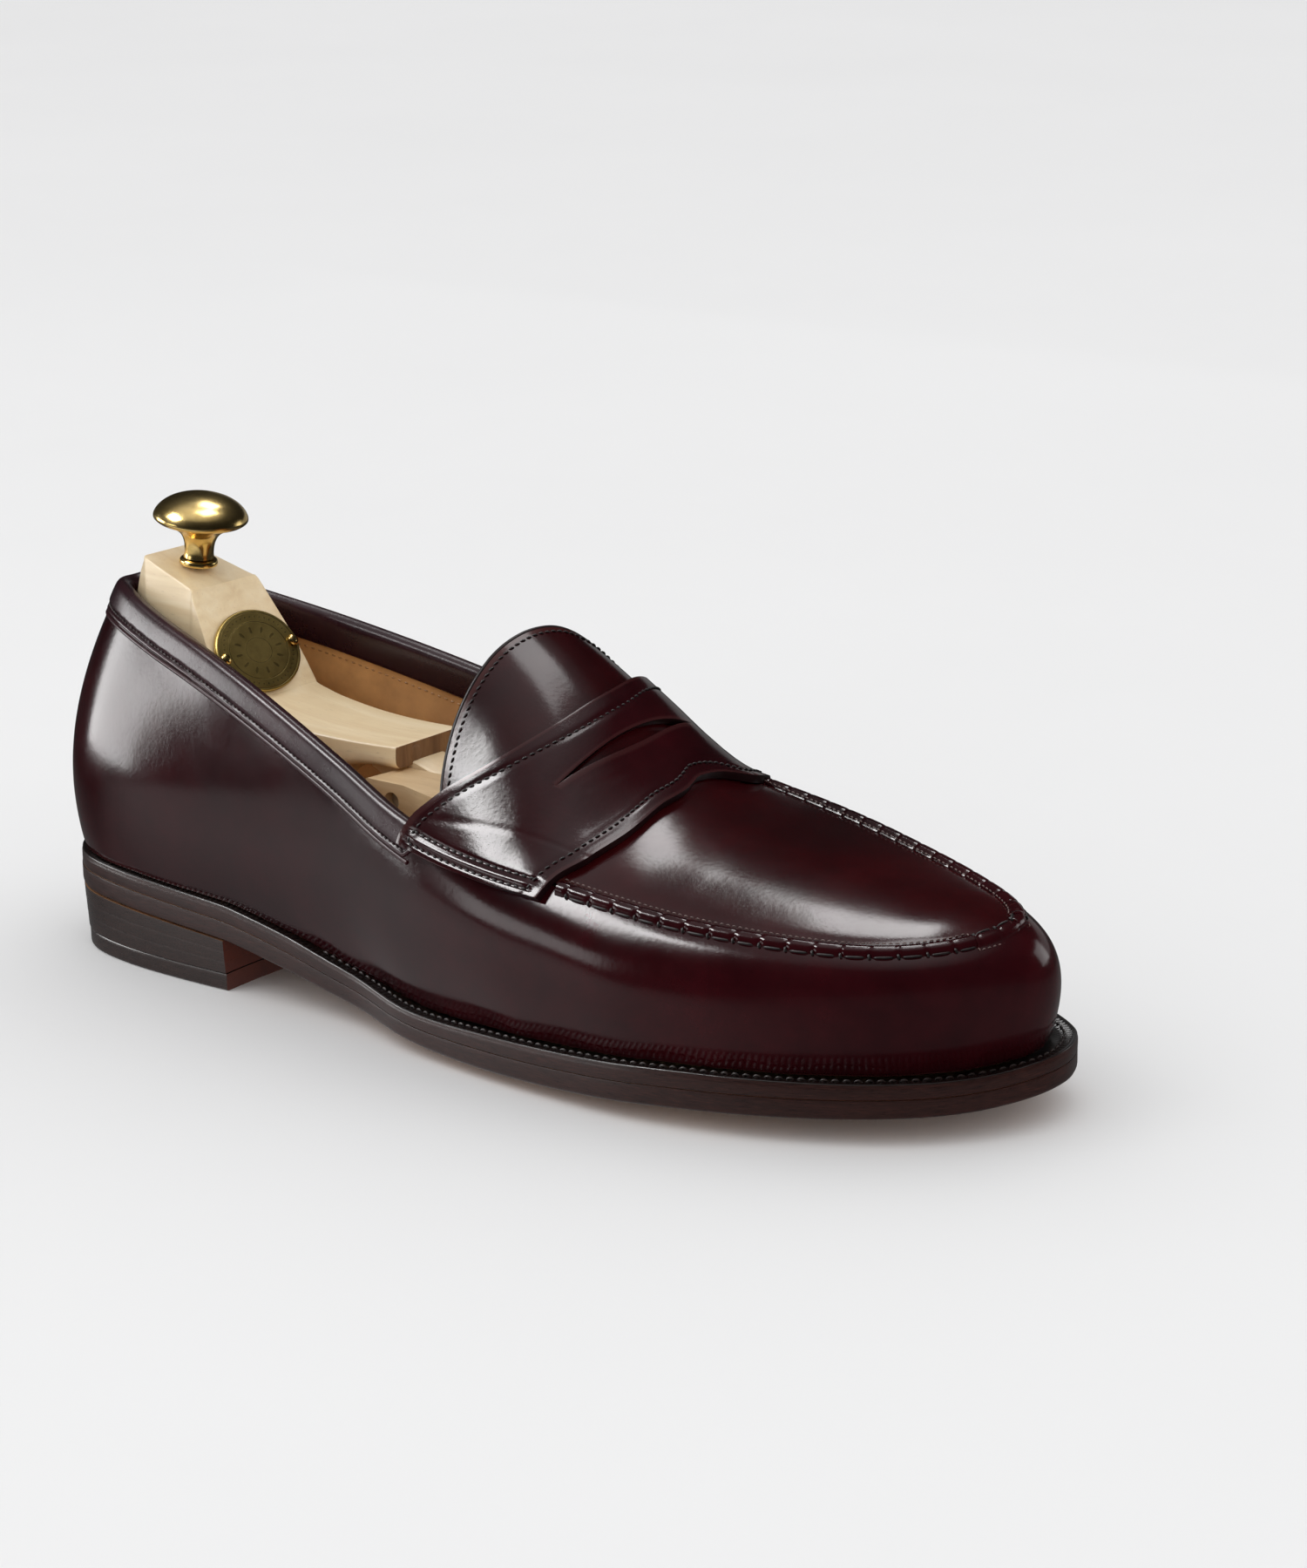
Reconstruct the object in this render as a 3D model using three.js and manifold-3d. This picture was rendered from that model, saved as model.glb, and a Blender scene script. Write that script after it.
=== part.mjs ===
import * as THREE from 'three';
import Module from 'manifold-3d';

const wasm = await Module();
wasm.setup();
const { Manifold, Mesh: MMesh } = wasm;

// ---------------------------------------------------------------- driving dimensions (mm)
const UPPER_T = 1.2;          // upper leather thickness
const STIFF_IN = 1.5;         // stiffener starts this far inside the outer skin
const STIFF_OUT = 2.4;
const LINING_IN = 2.7;        // lining starts this far inside the outer skin
const LINING_OUT = 3.5;
const GAP = 0.3;              // working gap between neighbouring pieces
const TOP_PIECE_T = 4.5;      // heel top piece
const WELT_DEPTH = 10;        // plan width of the welt strip
const TREE_CLEAR = 1.3;       // clearance of the tree forepart in the toe
const PIN = { x: 118, z: 55, r: 2.0, half: 17 };
const BORE = PIN.r + 0.35;

// ---------------------------------------------------------------- shape tables
// One row per station round the shoe, from the back of the heel along the lateral
// side (-y) to the toe and back along the medial side (+y).
// [sole x, sole y, feather inset, top x, top y, top z, lean at foot, pull, lean at top, pull]
const ROWS = [
  [0.5, 0, 1.2, 13, 0, 94.8, 17, 0.40, 30, 0.30],
  [3.5, -11.5, 1.3, 15, -6.2, 95.3, 17, 0.40, 29, 0.30],
  [10, -21.5, 1.4, 20, -11, 95.2, 16, 0.40, 27, 0.30],
  [20, -28.5, 1.5, 28.5, -15, 93.4, 14, 0.40, 24, 0.32],
  [36, -32.3, 1.6, 41, -19, 90.3, 12, 0.40, 21, 0.33],
  [55, -33.6, 1.8, 58, -23.3, 86.3, 13, 0.40, 18, 0.34],
  [76, -33.6, 2.2, 77, -27.5, 80.8, 16, 0.40, 15, 0.35],
  [97, -33.8, 2.8, 96, -31.2, 74.3, 20, 0.40, 12, 0.35],
  [118, -35.6, 3.4, 115, -34.6, 67.2, 23, 0.40, 12, 0.35],
  [137.5, -41.7, 5.0, 134, -38.2, 60.0, 24, 0.40, 18, 0.35],
  [155.6, -44.9, 5.4, 151, -40.6, 55.6, 24, 0.40, 28, 0.36],
  [173.8, -47.1, 5.1, 168, -41.5, 52.8, 23, 0.40, 36, 0.37],
  [192.1, -48.2, 5.5, 185, -40.8, 50.8, 22, 0.41, 43, 0.38],
  [210, -48.4, 5.6, 203, -39.4, 48.6, 22, 0.42, 48, 0.39],
  [226.6, -46, 5.7, 220, -37.6, 46.9, 21, 0.42, 52, 0.40],
  [242.2, -42.1, 5.8, 236, -35, 46.0, 20, 0.42, 55, 0.40],
  [256.2, -36.6, 5.9, 250, -31.8, 45.5, 19, 0.43, 57, 0.40],
  [268.8, -29.7, 6.0, 262.5, -27.3, 45.3, 18, 0.44, 58, 0.40],
  [279.5, -21.1, 6.1, 272.2, -21.3, 45.5, 17, 0.45, 60, 0.40],
  [287.8, -11, 6.2, 279.3, -13.2, 45.9, 17, 0.45, 61, 0.40],
  [293.8, 0.8, 6.3, 283.2, -4, 46.4, 17, 0.45, 62, 0.40],
  [294.9, 10.7, 6.3, 284.2, 4.5, 46.8, 17, 0.45, 62, 0.40],
  [292.5, 19.3, 6.3, 281.2, 12, 47.4, 17, 0.45, 61, 0.40],
  [287.5, 27.3, 6.2, 274.5, 17.8, 48.0, 17, 0.45, 60, 0.40],
  [277.7, 34.8, 6.1, 265.5, 22.2, 49.0, 18, 0.44, 58, 0.40],
  [265, 40.4, 6.0, 254, 26.2, 50.5, 19, 0.43, 56, 0.40],
  [250.5, 45.4, 6.0, 241, 29.7, 52.2, 20, 0.42, 54, 0.40],
  [234.5, 46.3, 6.0, 227, 33, 54.0, 21, 0.41, 52, 0.40],
  [218, 45.2, 5.8, 212.5, 35.8, 55.6, 22, 0.40, 48, 0.39],
  [201, 42.4, 5.4, 197.5, 37.9, 57.1, 24, 0.40, 43, 0.38],
  [184, 38.2, 4.6, 182.5, 39.2, 58.8, 28, 0.40, 36, 0.37],
  [167.5, 33.6, 3.8, 167.5, 39.4, 60.8, 33, 0.40, 28, 0.36],
  [151, 29.2, 3.0, 152.5, 38.9, 63.3, 38, 0.40, 19, 0.35],
  [134, 26, 2.6, 137.5, 37.7, 66.8, 41, 0.40, 13, 0.35],
  [117, 24.5, 2.4, 121, 36, 71.0, 40, 0.40, 9, 0.35],
  [99, 25.2, 2.2, 103.5, 33.8, 75.4, 36, 0.40, 10, 0.35],
  [80, 28, 2.0, 84, 31, 80.0, 28, 0.40, 13, 0.34],
  [59, 30.6, 1.8, 62, 27.2, 84.9, 20, 0.40, 17, 0.33],
  [38, 31, 1.6, 43, 22.4, 89.2, 15, 0.40, 20, 0.32],
  [21, 28, 1.5, 29.5, 17.4, 92.6, 14, 0.40, 24, 0.32],
  [10.5, 21.5, 1.4, 20.5, 12, 94.7, 16, 0.40, 27, 0.30],
  [3.5, 11.5, 1.3, 15, 6.3, 95.2, 17, 0.40, 29, 0.30],
];
const NR = ROWS.length;

const lerp = (a, b, t) => a + (b - a) * t;
function table(tab) {
  return (x) => {
    if (x <= tab[0][0]) return tab[0][1];
    for (let i = 1; i < tab.length; i++) {
      if (x <= tab[i][0]) {
        const p0 = tab[Math.max(i - 2, 0)], p1 = tab[i - 1], p2 = tab[i], p3 = tab[Math.min(i + 1, tab.length - 1)];
        const h = p2[0] - p1[0], t = (x - p1[0]) / h;
        const m1 = i > 1 ? (p2[1] - p0[1]) / (p2[0] - p0[0]) : (p2[1] - p1[1]) / h;
        const m2 = i < tab.length - 1 ? (p3[1] - p1[1]) / (p3[0] - p1[0]) : (p2[1] - p1[1]) / h;
        const t2 = t * t, t3 = t2 * t;
        return (2 * t3 - 3 * t2 + 1) * p1[1] + (t3 - 2 * t2 + t) * h * m1 + (-2 * t3 + 3 * t2) * p2[1] + (t3 - t2) * h * m2;
      }
    }
    return tab[tab.length - 1][1];
  };
}
const soleBottom = table([[0, 17.0], [35, 16.2], [70, 14.0], [80, 12.2], [92, 9.6], [113, 5.2], [139, 1.6], [160, 0.3], [185, 0.3], [205, 1.2], [220, 2.3], [235, 3.3], [250, 4.4], [267, 5.7], [287, 7.5], [300, 10.3]]);
const soleStack = table([[0, 9.4], [90, 9.2], [115, 8.2], [140, 7.9], [170, 9.2], [225, 9.3], [265, 8.6], [300, 8.2]]);
const soleOnly = table([[0, 5.2], [90, 5.0], [115, 4.4], [140, 4.3], [170, 5.0], [225, 5.0], [265, 4.7], [300, 4.5]]);
const camber = table([[70, 0], [113, 2.4], [140, 3.0], [270, 3.0], [300, 2.0]]);
const zB = (x, y) => soleBottom(x) + camber(x) * (y / 50) * (y / 50);
const zS = (x, y) => zB(x, y) + soleOnly(x);
const zW = (x, y) => zB(x, y) + soleStack(x);

// instep and apron crest above the chord between matching stations
const crest = table([[120, 114], [135, 107], [142, 103.2], [150, 98.3], [160, 92.3], [171, 84.0], [178, 76.5], [188, 65.6], [200, 60.4], [215, 57.6], [230, 55.6], [250, 53.2], [270, 50.6], [280, 48.4], [285, 47.0]]);
const crestY = table([[120, 5], [150, 5], [171, 5], [188, 8], [215, 6], [250, 4], [285, 4.3]]);

function row(r) {
  r = ((r % NR) + NR) % NR;
  const i = Math.floor(r), t = r - i;
  const p0 = ROWS[(i + NR - 1) % NR], p1 = ROWS[i], p2 = ROWS[(i + 1) % NR], p3 = ROWS[(i + 2) % NR];
  const out = [];
  for (let k = 0; k < 10; k++) {
    out.push(0.5 * (2 * p1[k] + (p2[k] - p0[k]) * t + (2 * p0[k] - 5 * p1[k] + 4 * p2[k] - p3[k]) * t * t + (3 * p1[k] - p0[k] - 3 * p2[k] + p3[k]) * t * t * t));
  }
  return out;
}
function planNormal(r) {
  const a = row(r - 0.05), b = row(r + 0.05);
  const dx = b[0] - a[0], dy = b[1] - a[1], l = Math.hypot(dx, dy);
  return [dy / l, -dx / l];
}
const V = (x, y, z) => new THREE.Vector3(x, y, z);
// point on the sole outline moved inwards in plan
function outline(r, inset) {
  const q = row(r), n = planNormal(r);
  return [q[0] - n[0] * inset, q[1] - n[1] * inset];
}
// outer skin of the wall: v = 0 at the feather edge, v = 1 at the topline or the apron seam
function wall(r, v) {
  const q = row(r), n = planNormal(r);
  const fx = q[0] - n[0] * q[2], fy = q[1] - n[1] * q[2];
  const F = V(fx, fy, zW(fx, fy) + GAP), T = V(q[3], q[4], q[5]);
  const L = F.distanceTo(T), a1 = q[6] * Math.PI / 180, a2 = q[8] * Math.PI / 180;
  const H1 = V(F.x + n[0] * L * q[7] * Math.sin(a1), F.y + n[1] * L * q[7] * Math.sin(a1), F.z + L * q[7] * Math.cos(a1));
  const H2 = V(T.x + n[0] * L * q[9] * Math.sin(a2), T.y + n[1] * L * q[9] * Math.sin(a2), T.z - L * q[9] * Math.cos(a2));
  const u = 1 - v, b0 = u * u * u, b1 = 3 * u * u * v, b2 = 3 * u * v * v, b3 = v * v * v;
  return V(b0 * F.x + b1 * H1.x + b2 * H2.x + b3 * T.x, b0 * F.y + b1 * H1.y + b2 * H2.y + b3 * T.y, b0 * F.z + b1 * H1.z + b2 * H2.z + b3 * T.z);
}
function wallNormal(r, v) {
  const e = 0.02, v0 = Math.max(v - e, 0), v1 = Math.min(v + e, 1);
  const dv = wall(r, v1).sub(wall(r, v0)), dr = wall(r + 0.1, v).sub(wall(r - 0.1, v));
  return dr.cross(dv).normalize();
}
function wallAt(r, v, off) {
  return wall(r, v).addScaledVector(wallNormal(r, v), off);
}
// apron and tongue skin: i = station, w = 0 at the lateral seam, 1 at the medial seam
function apron(i, w) {
  const l = row(i), m = row(NR - i);
  const x = lerp(l[3], m[3], w), y = lerp(l[4], m[4], w);
  const xm = lerp(l[3], m[3], 0.5);
  const C = Math.max(crest(xm), Math.max(l[5], m[5]) + 0.2);
  const wc = Math.min(Math.max((crestY(xm) - l[4]) / (m[4] - l[4]), 0.3), 0.7);
  const z = w < wc ? C - (C - l[5]) * ((wc - w) / wc) ** 2 : C - (C - m[5]) * ((w - wc) / (1 - wc)) ** 2;
  return V(x, y, z);
}
function apronNormal(i, w) {
  const e = 0.01;
  const w0 = Math.max(w - e, 0), w1 = Math.min(w + e, 1);
  const dw = apron(i, w1).sub(apron(i, w0)), di = apron(i + 0.05, w).sub(apron(i - 0.05, w));
  return di.cross(dw).normalize();
}
function apronAt(i, w, off) {
  return apron(i, w).addScaledVector(apronNormal(i, w), off);
}
// rear edge of the tongue as a station number across the width
const tongueRear = table([[0, 10.2], [0.035, 9.9], [0.1, 9.68], [0.2, 9.57], [0.33, 9.6], [0.45, 9.7], [0.575, 9.82], [0.7, 9.95], [0.8, 10.08], [0.9, 10.3], [0.965, 10.55], [1, 10.85]]);
// strap edges as station numbers across the width
const strapBack = table([[-0.12, 9.36], [0, 9.45], [0.05, 9.75], [0.15, 10.42], [0.25, 10.83], [0.37, 11.1], [0.5, 11.2], [0.62, 11.1], [0.8, 10.75], [0.92, 10.2], [1, 9.7], [1.12, 9.6]]);
const strapFront = table([[-0.12, 11.72], [0, 11.84], [0.1, 12.16], [0.25, 12.38], [0.45, 12.35], [0.62, 12.2], [0.68, 12.24], [0.8, 12.34], [0.92, 12.42], [1, 12.3], [1.12, 12.15]]);
function skinAcross(i, b) {
  if (b < 0) return wall(i, 1 + b * 1.05);
  if (b > 1) return wall(NR - i, 1 - (b - 1) * 1.05);
  return apron(i, b);
}
function skinNormal(i, b) {
  const db = skinAcross(i, b + 0.03).sub(skinAcross(i, b - 0.03)), di = skinAcross(i + 0.1, b).sub(skinAcross(i - 0.1, b));
  return di.cross(db).normalize();
}

// ---------------------------------------------------------------- mesh helpers
// closed body between two matching grids
function gridSolid(nu, nv, outer, inner) {
  const P = [], idx = [], W = nv + 1, N = (nu + 1) * W;
  for (let i = 0; i <= nu; i++) for (let j = 0; j <= nv; j++) P.push(outer(i / nu, j / nv));
  for (let i = 0; i <= nu; i++) for (let j = 0; j <= nv; j++) P.push(inner(i / nu, j / nv));
  const quad = (a, b, c, d) => { idx.push(a, b, c, a, c, d); };
  for (let i = 0; i < nu; i++) for (let j = 0; j < nv; j++) {
    const a = i * W + j, b = a + 1, c = a + W + 1, d = a + W;
    quad(a, d, c, b);
    quad(a + N, b + N, c + N, d + N);
  }
  for (let i = 0; i < nu; i++) {
    const a = i * W, d = a + W; quad(a, a + N, d + N, d);
    const b = i * W + nv, c = b + W; quad(b, c, c + N, b + N);
  }
  for (let j = 0; j < nv; j++) {
    const a = j, b = j + 1; quad(a, b, b + N, a + N);
    const c = nu * W + j, d = c + 1; quad(c, c + N, d + N, d);
  }
  return fixWinding(P, idx);
}
function fixWinding(P, idx) {
  let vol = 0;
  for (let k = 0; k < idx.length; k += 3) vol += P[idx[k]].clone().cross(P[idx[k + 1]]).dot(P[idx[k + 2]]);
  if (vol < 0) for (let k = 0; k < idx.length; k += 3) { const t = idx[k + 1]; idx[k + 1] = idx[k + 2]; idx[k + 2] = t; }
  const g = new THREE.BufferGeometry();
  const pos = new Float32Array(P.length * 3);
  P.forEach((p, k) => { pos[3 * k] = p.x; pos[3 * k + 1] = p.y; pos[3 * k + 2] = p.z; });
  g.setAttribute('position', new THREE.BufferAttribute(pos, 3));
  g.setIndex(idx);
  return g;
}
// stations of a layer: both ends and every whole station between, shared by all layers
function stationsOf(a, b, extra = []) {
  const q = [a, ...extra];
  for (let r = Math.ceil(a); r < b; r++) if (r > a + 0.12 && r < b - 0.12) q.push(r);
  q.push(b);
  return q.sort((x, y) => x - y);
}
// closed body skinned over a list of rings with equal point counts, capped by fans
function ringSolid(rings, pairs = null) {
  const n = rings[0].length, P = [], idx = [];
  rings.forEach((r) => r.forEach((p) => P.push(p)));
  for (let k = 0; k < rings.length - 1; k++) for (let j = 0; j < n; j++) {
    const a = k * n + j, b = k * n + (j + 1) % n, c = a + n, d = b + n;
    idx.push(a, b, d, a, d, c);
  }
  const cap = (base, flip) => {
    if (pairs) {
      for (let k = 0; k + 1 < pairs.length; k++) {
        const [a, b] = pairs[k], [c, d] = pairs[k + 1], t = [];
        if (b !== d) t.push([a, d, b]);
        if (a !== c) t.push([a, c, d]);
        t.forEach(([x, y, z]) => idx.push(base + x, base + (flip ? z : y), base + (flip ? y : z)));
      }
      return;
    }
    const c = V(0, 0, 0); for (let j = 0; j < n; j++) c.add(P[base + j]); c.multiplyScalar(1 / n);
    const ci = P.push(c) - 1;
    for (let j = 0; j < n; j++) { const a = base + j, b = base + (j + 1) % n; if (flip) idx.push(ci, b, a); else idx.push(ci, a, b); }
  };
  cap(0, true); cap((rings.length - 1) * n, false);
  return fixWinding(P, idx);
}
function toManifold(g) {
  let q = g.index ? g : null;
  const pos = g.getAttribute('position');
  const map = new Map(), verts = [], tris = [], key = (i) => `${Math.round(pos.getX(i) * 1e4)},${Math.round(pos.getY(i) * 1e4)},${Math.round(pos.getZ(i) * 1e4)}`;
  const id = (i) => { const k = key(i); if (!map.has(k)) { map.set(k, verts.length / 3); verts.push(pos.getX(i), pos.getY(i), pos.getZ(i)); } return map.get(k); };
  const n = q ? g.index.count : pos.count;
  for (let k = 0; k < n; k += 3) {
    const a = id(q ? g.index.getX(k) : k), b = id(q ? g.index.getX(k + 1) : k + 1), c = id(q ? g.index.getX(k + 2) : k + 2);
    if (a !== b && b !== c && a !== c) tris.push(a, b, c);
  }
  return new Manifold(new MMesh({ numProp: 3, vertProperties: new Float32Array(verts), triVerts: new Uint32Array(tris) }));
}
function fromManifold(m) {
  const q = m.getMesh(), g = new THREE.BufferGeometry();
  const pos = new Float32Array(q.numVert * 3);
  for (let i = 0; i < q.numVert; i++) for (let k = 0; k < 3; k++) pos[3 * i + k] = q.vertProperties[i * q.numProp + k];
  g.setAttribute('position', new THREE.BufferAttribute(pos, 3));
  g.setIndex(Array.from(q.triVerts));
  return g;
}
function placed(g, x, y, z, rx = 0, ry = 0, rz = 0) {
  const m = new THREE.Matrix4().compose(V(x, y, z), new THREE.Quaternion().setFromEuler(new THREE.Euler(rx, ry, rz)), V(1, 1, 1));
  return g.clone().applyMatrix4(m);
}
const cut = (a, ...bs) => fromManifold(bs.reduce((m, b) => m.subtract(toManifold(b)), toManifold(a)));
const join = (a, ...bs) => fromManifold(bs.reduce((m, b) => m.add(toManifold(b)), toManifold(a)));

// ---------------------------------------------------------------- materials
const mat = (color, roughness, metalness = 0) => new THREE.MeshStandardMaterial({ color, roughness, metalness });
const M = {
  burgundy: mat(0x3a0d14, 0.25), bind: mat(0x331118, 0.35), lining: mat(0xd79a58, 0.6), welt: mat(0x1e0f0c, 0.5),
  sole: mat(0x4a2216, 0.5), lift: mat(0x2a1712, 0.5), top: mat(0x181210, 0.7), cork: mat(0x9a7248, 0.9), insole: mat(0xb98a58, 0.7),
  steel: mat(0x8a8a8a, 0.4, 1), stiff: mat(0xcbb79a, 0.8), wood: mat(0xecd2a4, 0.5), brass: mat(0xb8934a, 0.25, 1), thread: mat(0x2a1512, 0.7),
};
const group = new THREE.Group();
function add(name, geometry, material) {
  const m = new THREE.Mesh(geometry, material);
  m.name = name;
  group.add(m);
  return m;
}

// ---------------------------------------------------------------- heel stack
const I_HEEL = 5.78;             // station of the heel breast
const breastX = (w) => -2.2 * (1 - (2 * w - 1) ** 2);   // breast bows backwards
function heelLayer(z0, z1, shrink) {
  const st = stationsOf(0.12, I_HEEL);
  const f = (z) => (u, w) => {
    const i = st[Math.round(u * (st.length - 1))], a = outline(i, shrink(0)), b = outline(NR - i, shrink(0));
    const x = lerp(a[0], b[0], w) + breastX(w) * u ** 6, y = lerp(a[1], b[1], w);
    return V(x, y, z(x, y));
  };
  return gridSolid(st.length - 1, 4, f(z1), f(z0));
}
const stackZ = (k) => (x, y) => lerp(TOP_PIECE_T + GAP, zB(x, y) - GAP, k);
const NAILS = [[13, -9], [13, 9], [42, -19], [42, 18]];
add('heel_top_piece', cut(heelLayer(() => 0, () => TOP_PIECE_T, () => 1.3),
  ...NAILS.map(([x, y]) => placed(new THREE.CylinderGeometry(1.5, 1.5, 12, 12), x, y, 3, Math.PI / 2))), M.top);
NAILS.forEach(([x, y], k) => add(`heel_nail_${k + 1}`, placed(new THREE.CylinderGeometry(1.2, 1.2, TOP_PIECE_T - 0.2, 12), x, y, TOP_PIECE_T / 2, Math.PI / 2), M.brass));
for (let k = 0; k < 3; k++) {
  const h = GAP / 12;
  add(`heel_lift_${k + 1}`, heelLayer(stackZ(k / 3 + (k ? h : 0)), stackZ((k + 1) / 3 - (k < 2 ? h : 0)), () => 1.0 - 0.25 * k), M.lift);
}

// ---------------------------------------------------------------- bottom pieces
function slab(nw, i0, i1, inset, z0, z1, extra = []) {
  const st = stationsOf(i0, i1, extra);
  const f = (z) => (u, w) => {
    const i = st[Math.round(u * (st.length - 1))], a = outline(i, inset(i)), b = outline(NR - i, inset(NR - i));
    const x = lerp(a[0], b[0], w), y = lerp(a[1], b[1], w);
    return V(x, y, z(x, y));
  };
  return gridSolid(st.length - 1, nw, f(z1), f(z0));
}
add('outsole', slab(4, 0.12, 20.88, () => 0, zB, zS, [I_HEEL]), M.sole);
function strip(r0, r1, in0, in1, z0, z1, extra = []) {
  const st = stationsOf(r0, r1, extra);
  const f = (z) => (u, w) => {
    const r = st[Math.round(u * (st.length - 1))], a = outline(r, lerp(in0, in1, w));
    return V(a[0], a[1], z(a[0], a[1]));
  };
  return gridSolid(st.length - 1, 2, f(z1), f(z0));
}
add('welt', strip(6.9, NR - 6.9, 0, WELT_DEPTH, (x, y) => zS(x, y) + GAP, zW), M.welt);
add('heel_rand', strip(-6.8, 6.8, 0.2, WELT_DEPTH, (x, y) => zS(x, y) + GAP + 0.05, zW, [-I_HEEL, I_HEEL]), M.welt);
add('cork_filler', slab(4, 10.6, 20.0, () => WELT_DEPTH + 0.6, (x, y) => zS(x, y) + GAP, (x, y) => zW(x, y) - 0.05), M.cork);
{
  const f = (dz) => (u, w) => { const x = lerp(20, 152, u), y = lerp(-7, 7, w); return V(x, y, zS(x, y) + dz); };
  add('shank', gridSolid(14, 2, f(2.9), f(0.5)), M.steel);
}
const rowInset = (i) => row(i)[2];
add('insole', slab(4, 0.45, 20.5, (i) => rowInset(i) + 4.1, (x, y) => zW(x, y) + 0.35, (x, y) => zW(x, y) + 2.8, [I_HEEL]), M.insole);
add('sock_lining', slab(4, 0.6, 7.2, (i) => rowInset(i) + 4.6, (x, y) => zW(x, y) + 3.1, (x, y) => zW(x, y) + 4.0, [I_HEEL]), M.lining);

// ---------------------------------------------------------------- upper
const V_LINES = [0, 0.16, 0.34, 0.52, 0.66, 0.78, 0.89, 1];
function shell(r0, r1, v0, v1, o0, o1) {
  // every layer uses the same stations and height lines, so the skins stay parallel
  const rs = stationsOf(r0, r1), vs = [v0];
  V_LINES.forEach((v) => { if (v > v0 + 0.02 && v < v1 - 0.02) vs.push(v); });
  vs.push(v1);
  const f = (o) => (u, v) => {
    const r = rs[Math.round(u * (rs.length - 1))], vv = vs[Math.round(v * (vs.length - 1))];
    return wallAt(r, vv, typeof o === 'function' ? -o(vv) : -o);
  };
  return gridSolid(rs.length - 1, vs.length - 1, f(o0), f(o1));
}
const R_SPLIT = 11.0;                      // hidden side seam under the strap ends
add('quarter_lateral', shell(0.05, R_SPLIT - 0.02, 0, 1, 0, UPPER_T), M.burgundy);
add('quarter_medial', shell(NR - R_SPLIT + 0.02, NR - 0.05, 0, 1, 0, UPPER_T), M.burgundy);
add('vamp', shell(R_SPLIT + 0.02, NR - R_SPLIT - 0.02, 0, 1, 0, UPPER_T), M.burgundy);
add('heel_counter', shell(-5, 5, 0, 0.66, STIFF_IN, STIFF_OUT), M.stiff);
add('toe_puff', shell(17, NR - 17, 0, 0.89, STIFF_IN, STIFF_OUT), M.stiff);
const smooth = (a, b, x) => { const t = Math.min(Math.max((x - a) / (b - a), 0), 1); return t * t * (3 - 2 * t); };
const linIn = (v) => lerp(LINING_IN, 1.5, smooth(0.64, 0.86, v)), linOut = (v) => lerp(LINING_OUT, 2.2, smooth(0.64, 0.86, v));
add('lining_lateral', shell(0.08, R_SPLIT - 0.03, 0, 1, linIn, linOut), M.lining);
add('lining_medial', shell(NR - R_SPLIT + 0.03, NR - 0.08, 0, 1, linIn, linOut), M.lining);
add('lining_vamp', shell(R_SPLIT + 0.03, NR - R_SPLIT - 0.03, 0, 0.89, LINING_IN, LINING_OUT), M.lining);

// topline binding: a folded strip over the edge, section swept from strap end to strap end
{
  const stations = stationsOf(-9, 9), rings = [];
  for (const r of stations) {
    const T = wall(r, 1), N = wallNormal(r, 1);
    const D = wall(r, 1).sub(wall(r, 0.9)).normalize();
    const len = row(r)[5] > 0 ? wall(r, 1).distanceTo(wall(r, 0.9)) : 1, vA = 1 - 0.1 * (7.5 / len), vB = 1 - 0.1 * (9 / len);
    const at = (v, off) => wallAt(r, v, off);
    rings.push([
      at(vA, 0.5), at((vA + 1) / 2, 0.5), T.clone().addScaledVector(N, 0.5).addScaledVector(D, 0.4),
      T.clone().addScaledVector(N, -2.7).addScaledVector(D, 0.4), at((vB + 1) / 2, -2.7), at(vB, -2.7),
      at(vB, -3.3), at((vB + 1) / 2, -3.3), T.clone().addScaledVector(N, -3.3).addScaledVector(D, 0.5),
      T.clone().addScaledVector(N, -2.4).addScaledVector(D, 1.0), T.clone().addScaledVector(N, 0.2).addScaledVector(D, 1.0),
      T.clone().addScaledVector(N, 1.1).addScaledVector(D, 0.5), at((vA + 1) / 2, 1.1), at(vA, 1.1),
    ]);
  }
  add('topline_binding', ringSolid(rings, [[0, 13], [1, 12], [2, 11], [2, 10], [3, 9], [3, 8], [4, 7], [5, 6]]), M.bind);
}

// apron with tongue, and its lining
function apronSolid(skip, o0, o1) {
  // the lining uses the same grid lines one step in from the edge, so the skins stay parallel
  const NU = 22, NW = 12, nu = NU - 2 * skip, nw = NW - 2 * skip;
  const f = (o) => (u, w) => {
    const ww = (skip + w * nw) / NW, i = lerp(tongueRear(ww), 20.6, (skip + u * nu) / NU), l = row(i), m = row(NR - i);
    const width = m[4] - l[4], k = Math.min(1.6 / width, 0.3);
    return apronAt(i, lerp(k, 1 - k, (ww - 0) / 1), o);
  };
  return gridSolid(nu, nw, f(o0), f(o1));
}
add('apron', apronSolid(0, 0, -UPPER_T), M.burgundy);
add('apron_lining', apronSolid(1, -1.55, -2.3), M.lining);

// raised seam cord round the apron, from strap front to strap front
{
  const n = 34, rings = [], r0 = 12.75, r1 = NR - 12.75, rad = 0.85, C = [];
  for (let k = 0; k <= n; k++) {
    const r = lerp(r0, r1, k / n), N = wallNormal(r, 1);
    C.push(wall(r, 1).add(V(N.x * 0.5, N.y * 0.5, 1.25).multiplyScalar(1)));
  }
  for (let k = 0; k <= n; k++) {
    const t = C[Math.min(k + 1, n)].clone().sub(C[Math.max(k - 1, 0)]).normalize(), s = V(0, 0, 1).cross(t).normalize(), b = t.clone().cross(s);
    const ring = [];
    for (let j = 0; j < 6; j++) { const a = j * Math.PI / 3; ring.push(C[k].clone().addScaledVector(s, rad * Math.cos(a)).addScaledVector(b, rad * Math.sin(a))); }
    rings.push(ring);
  }
  add('apron_seam_cord', ringSolid(rings), M.thread);
}

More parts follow.
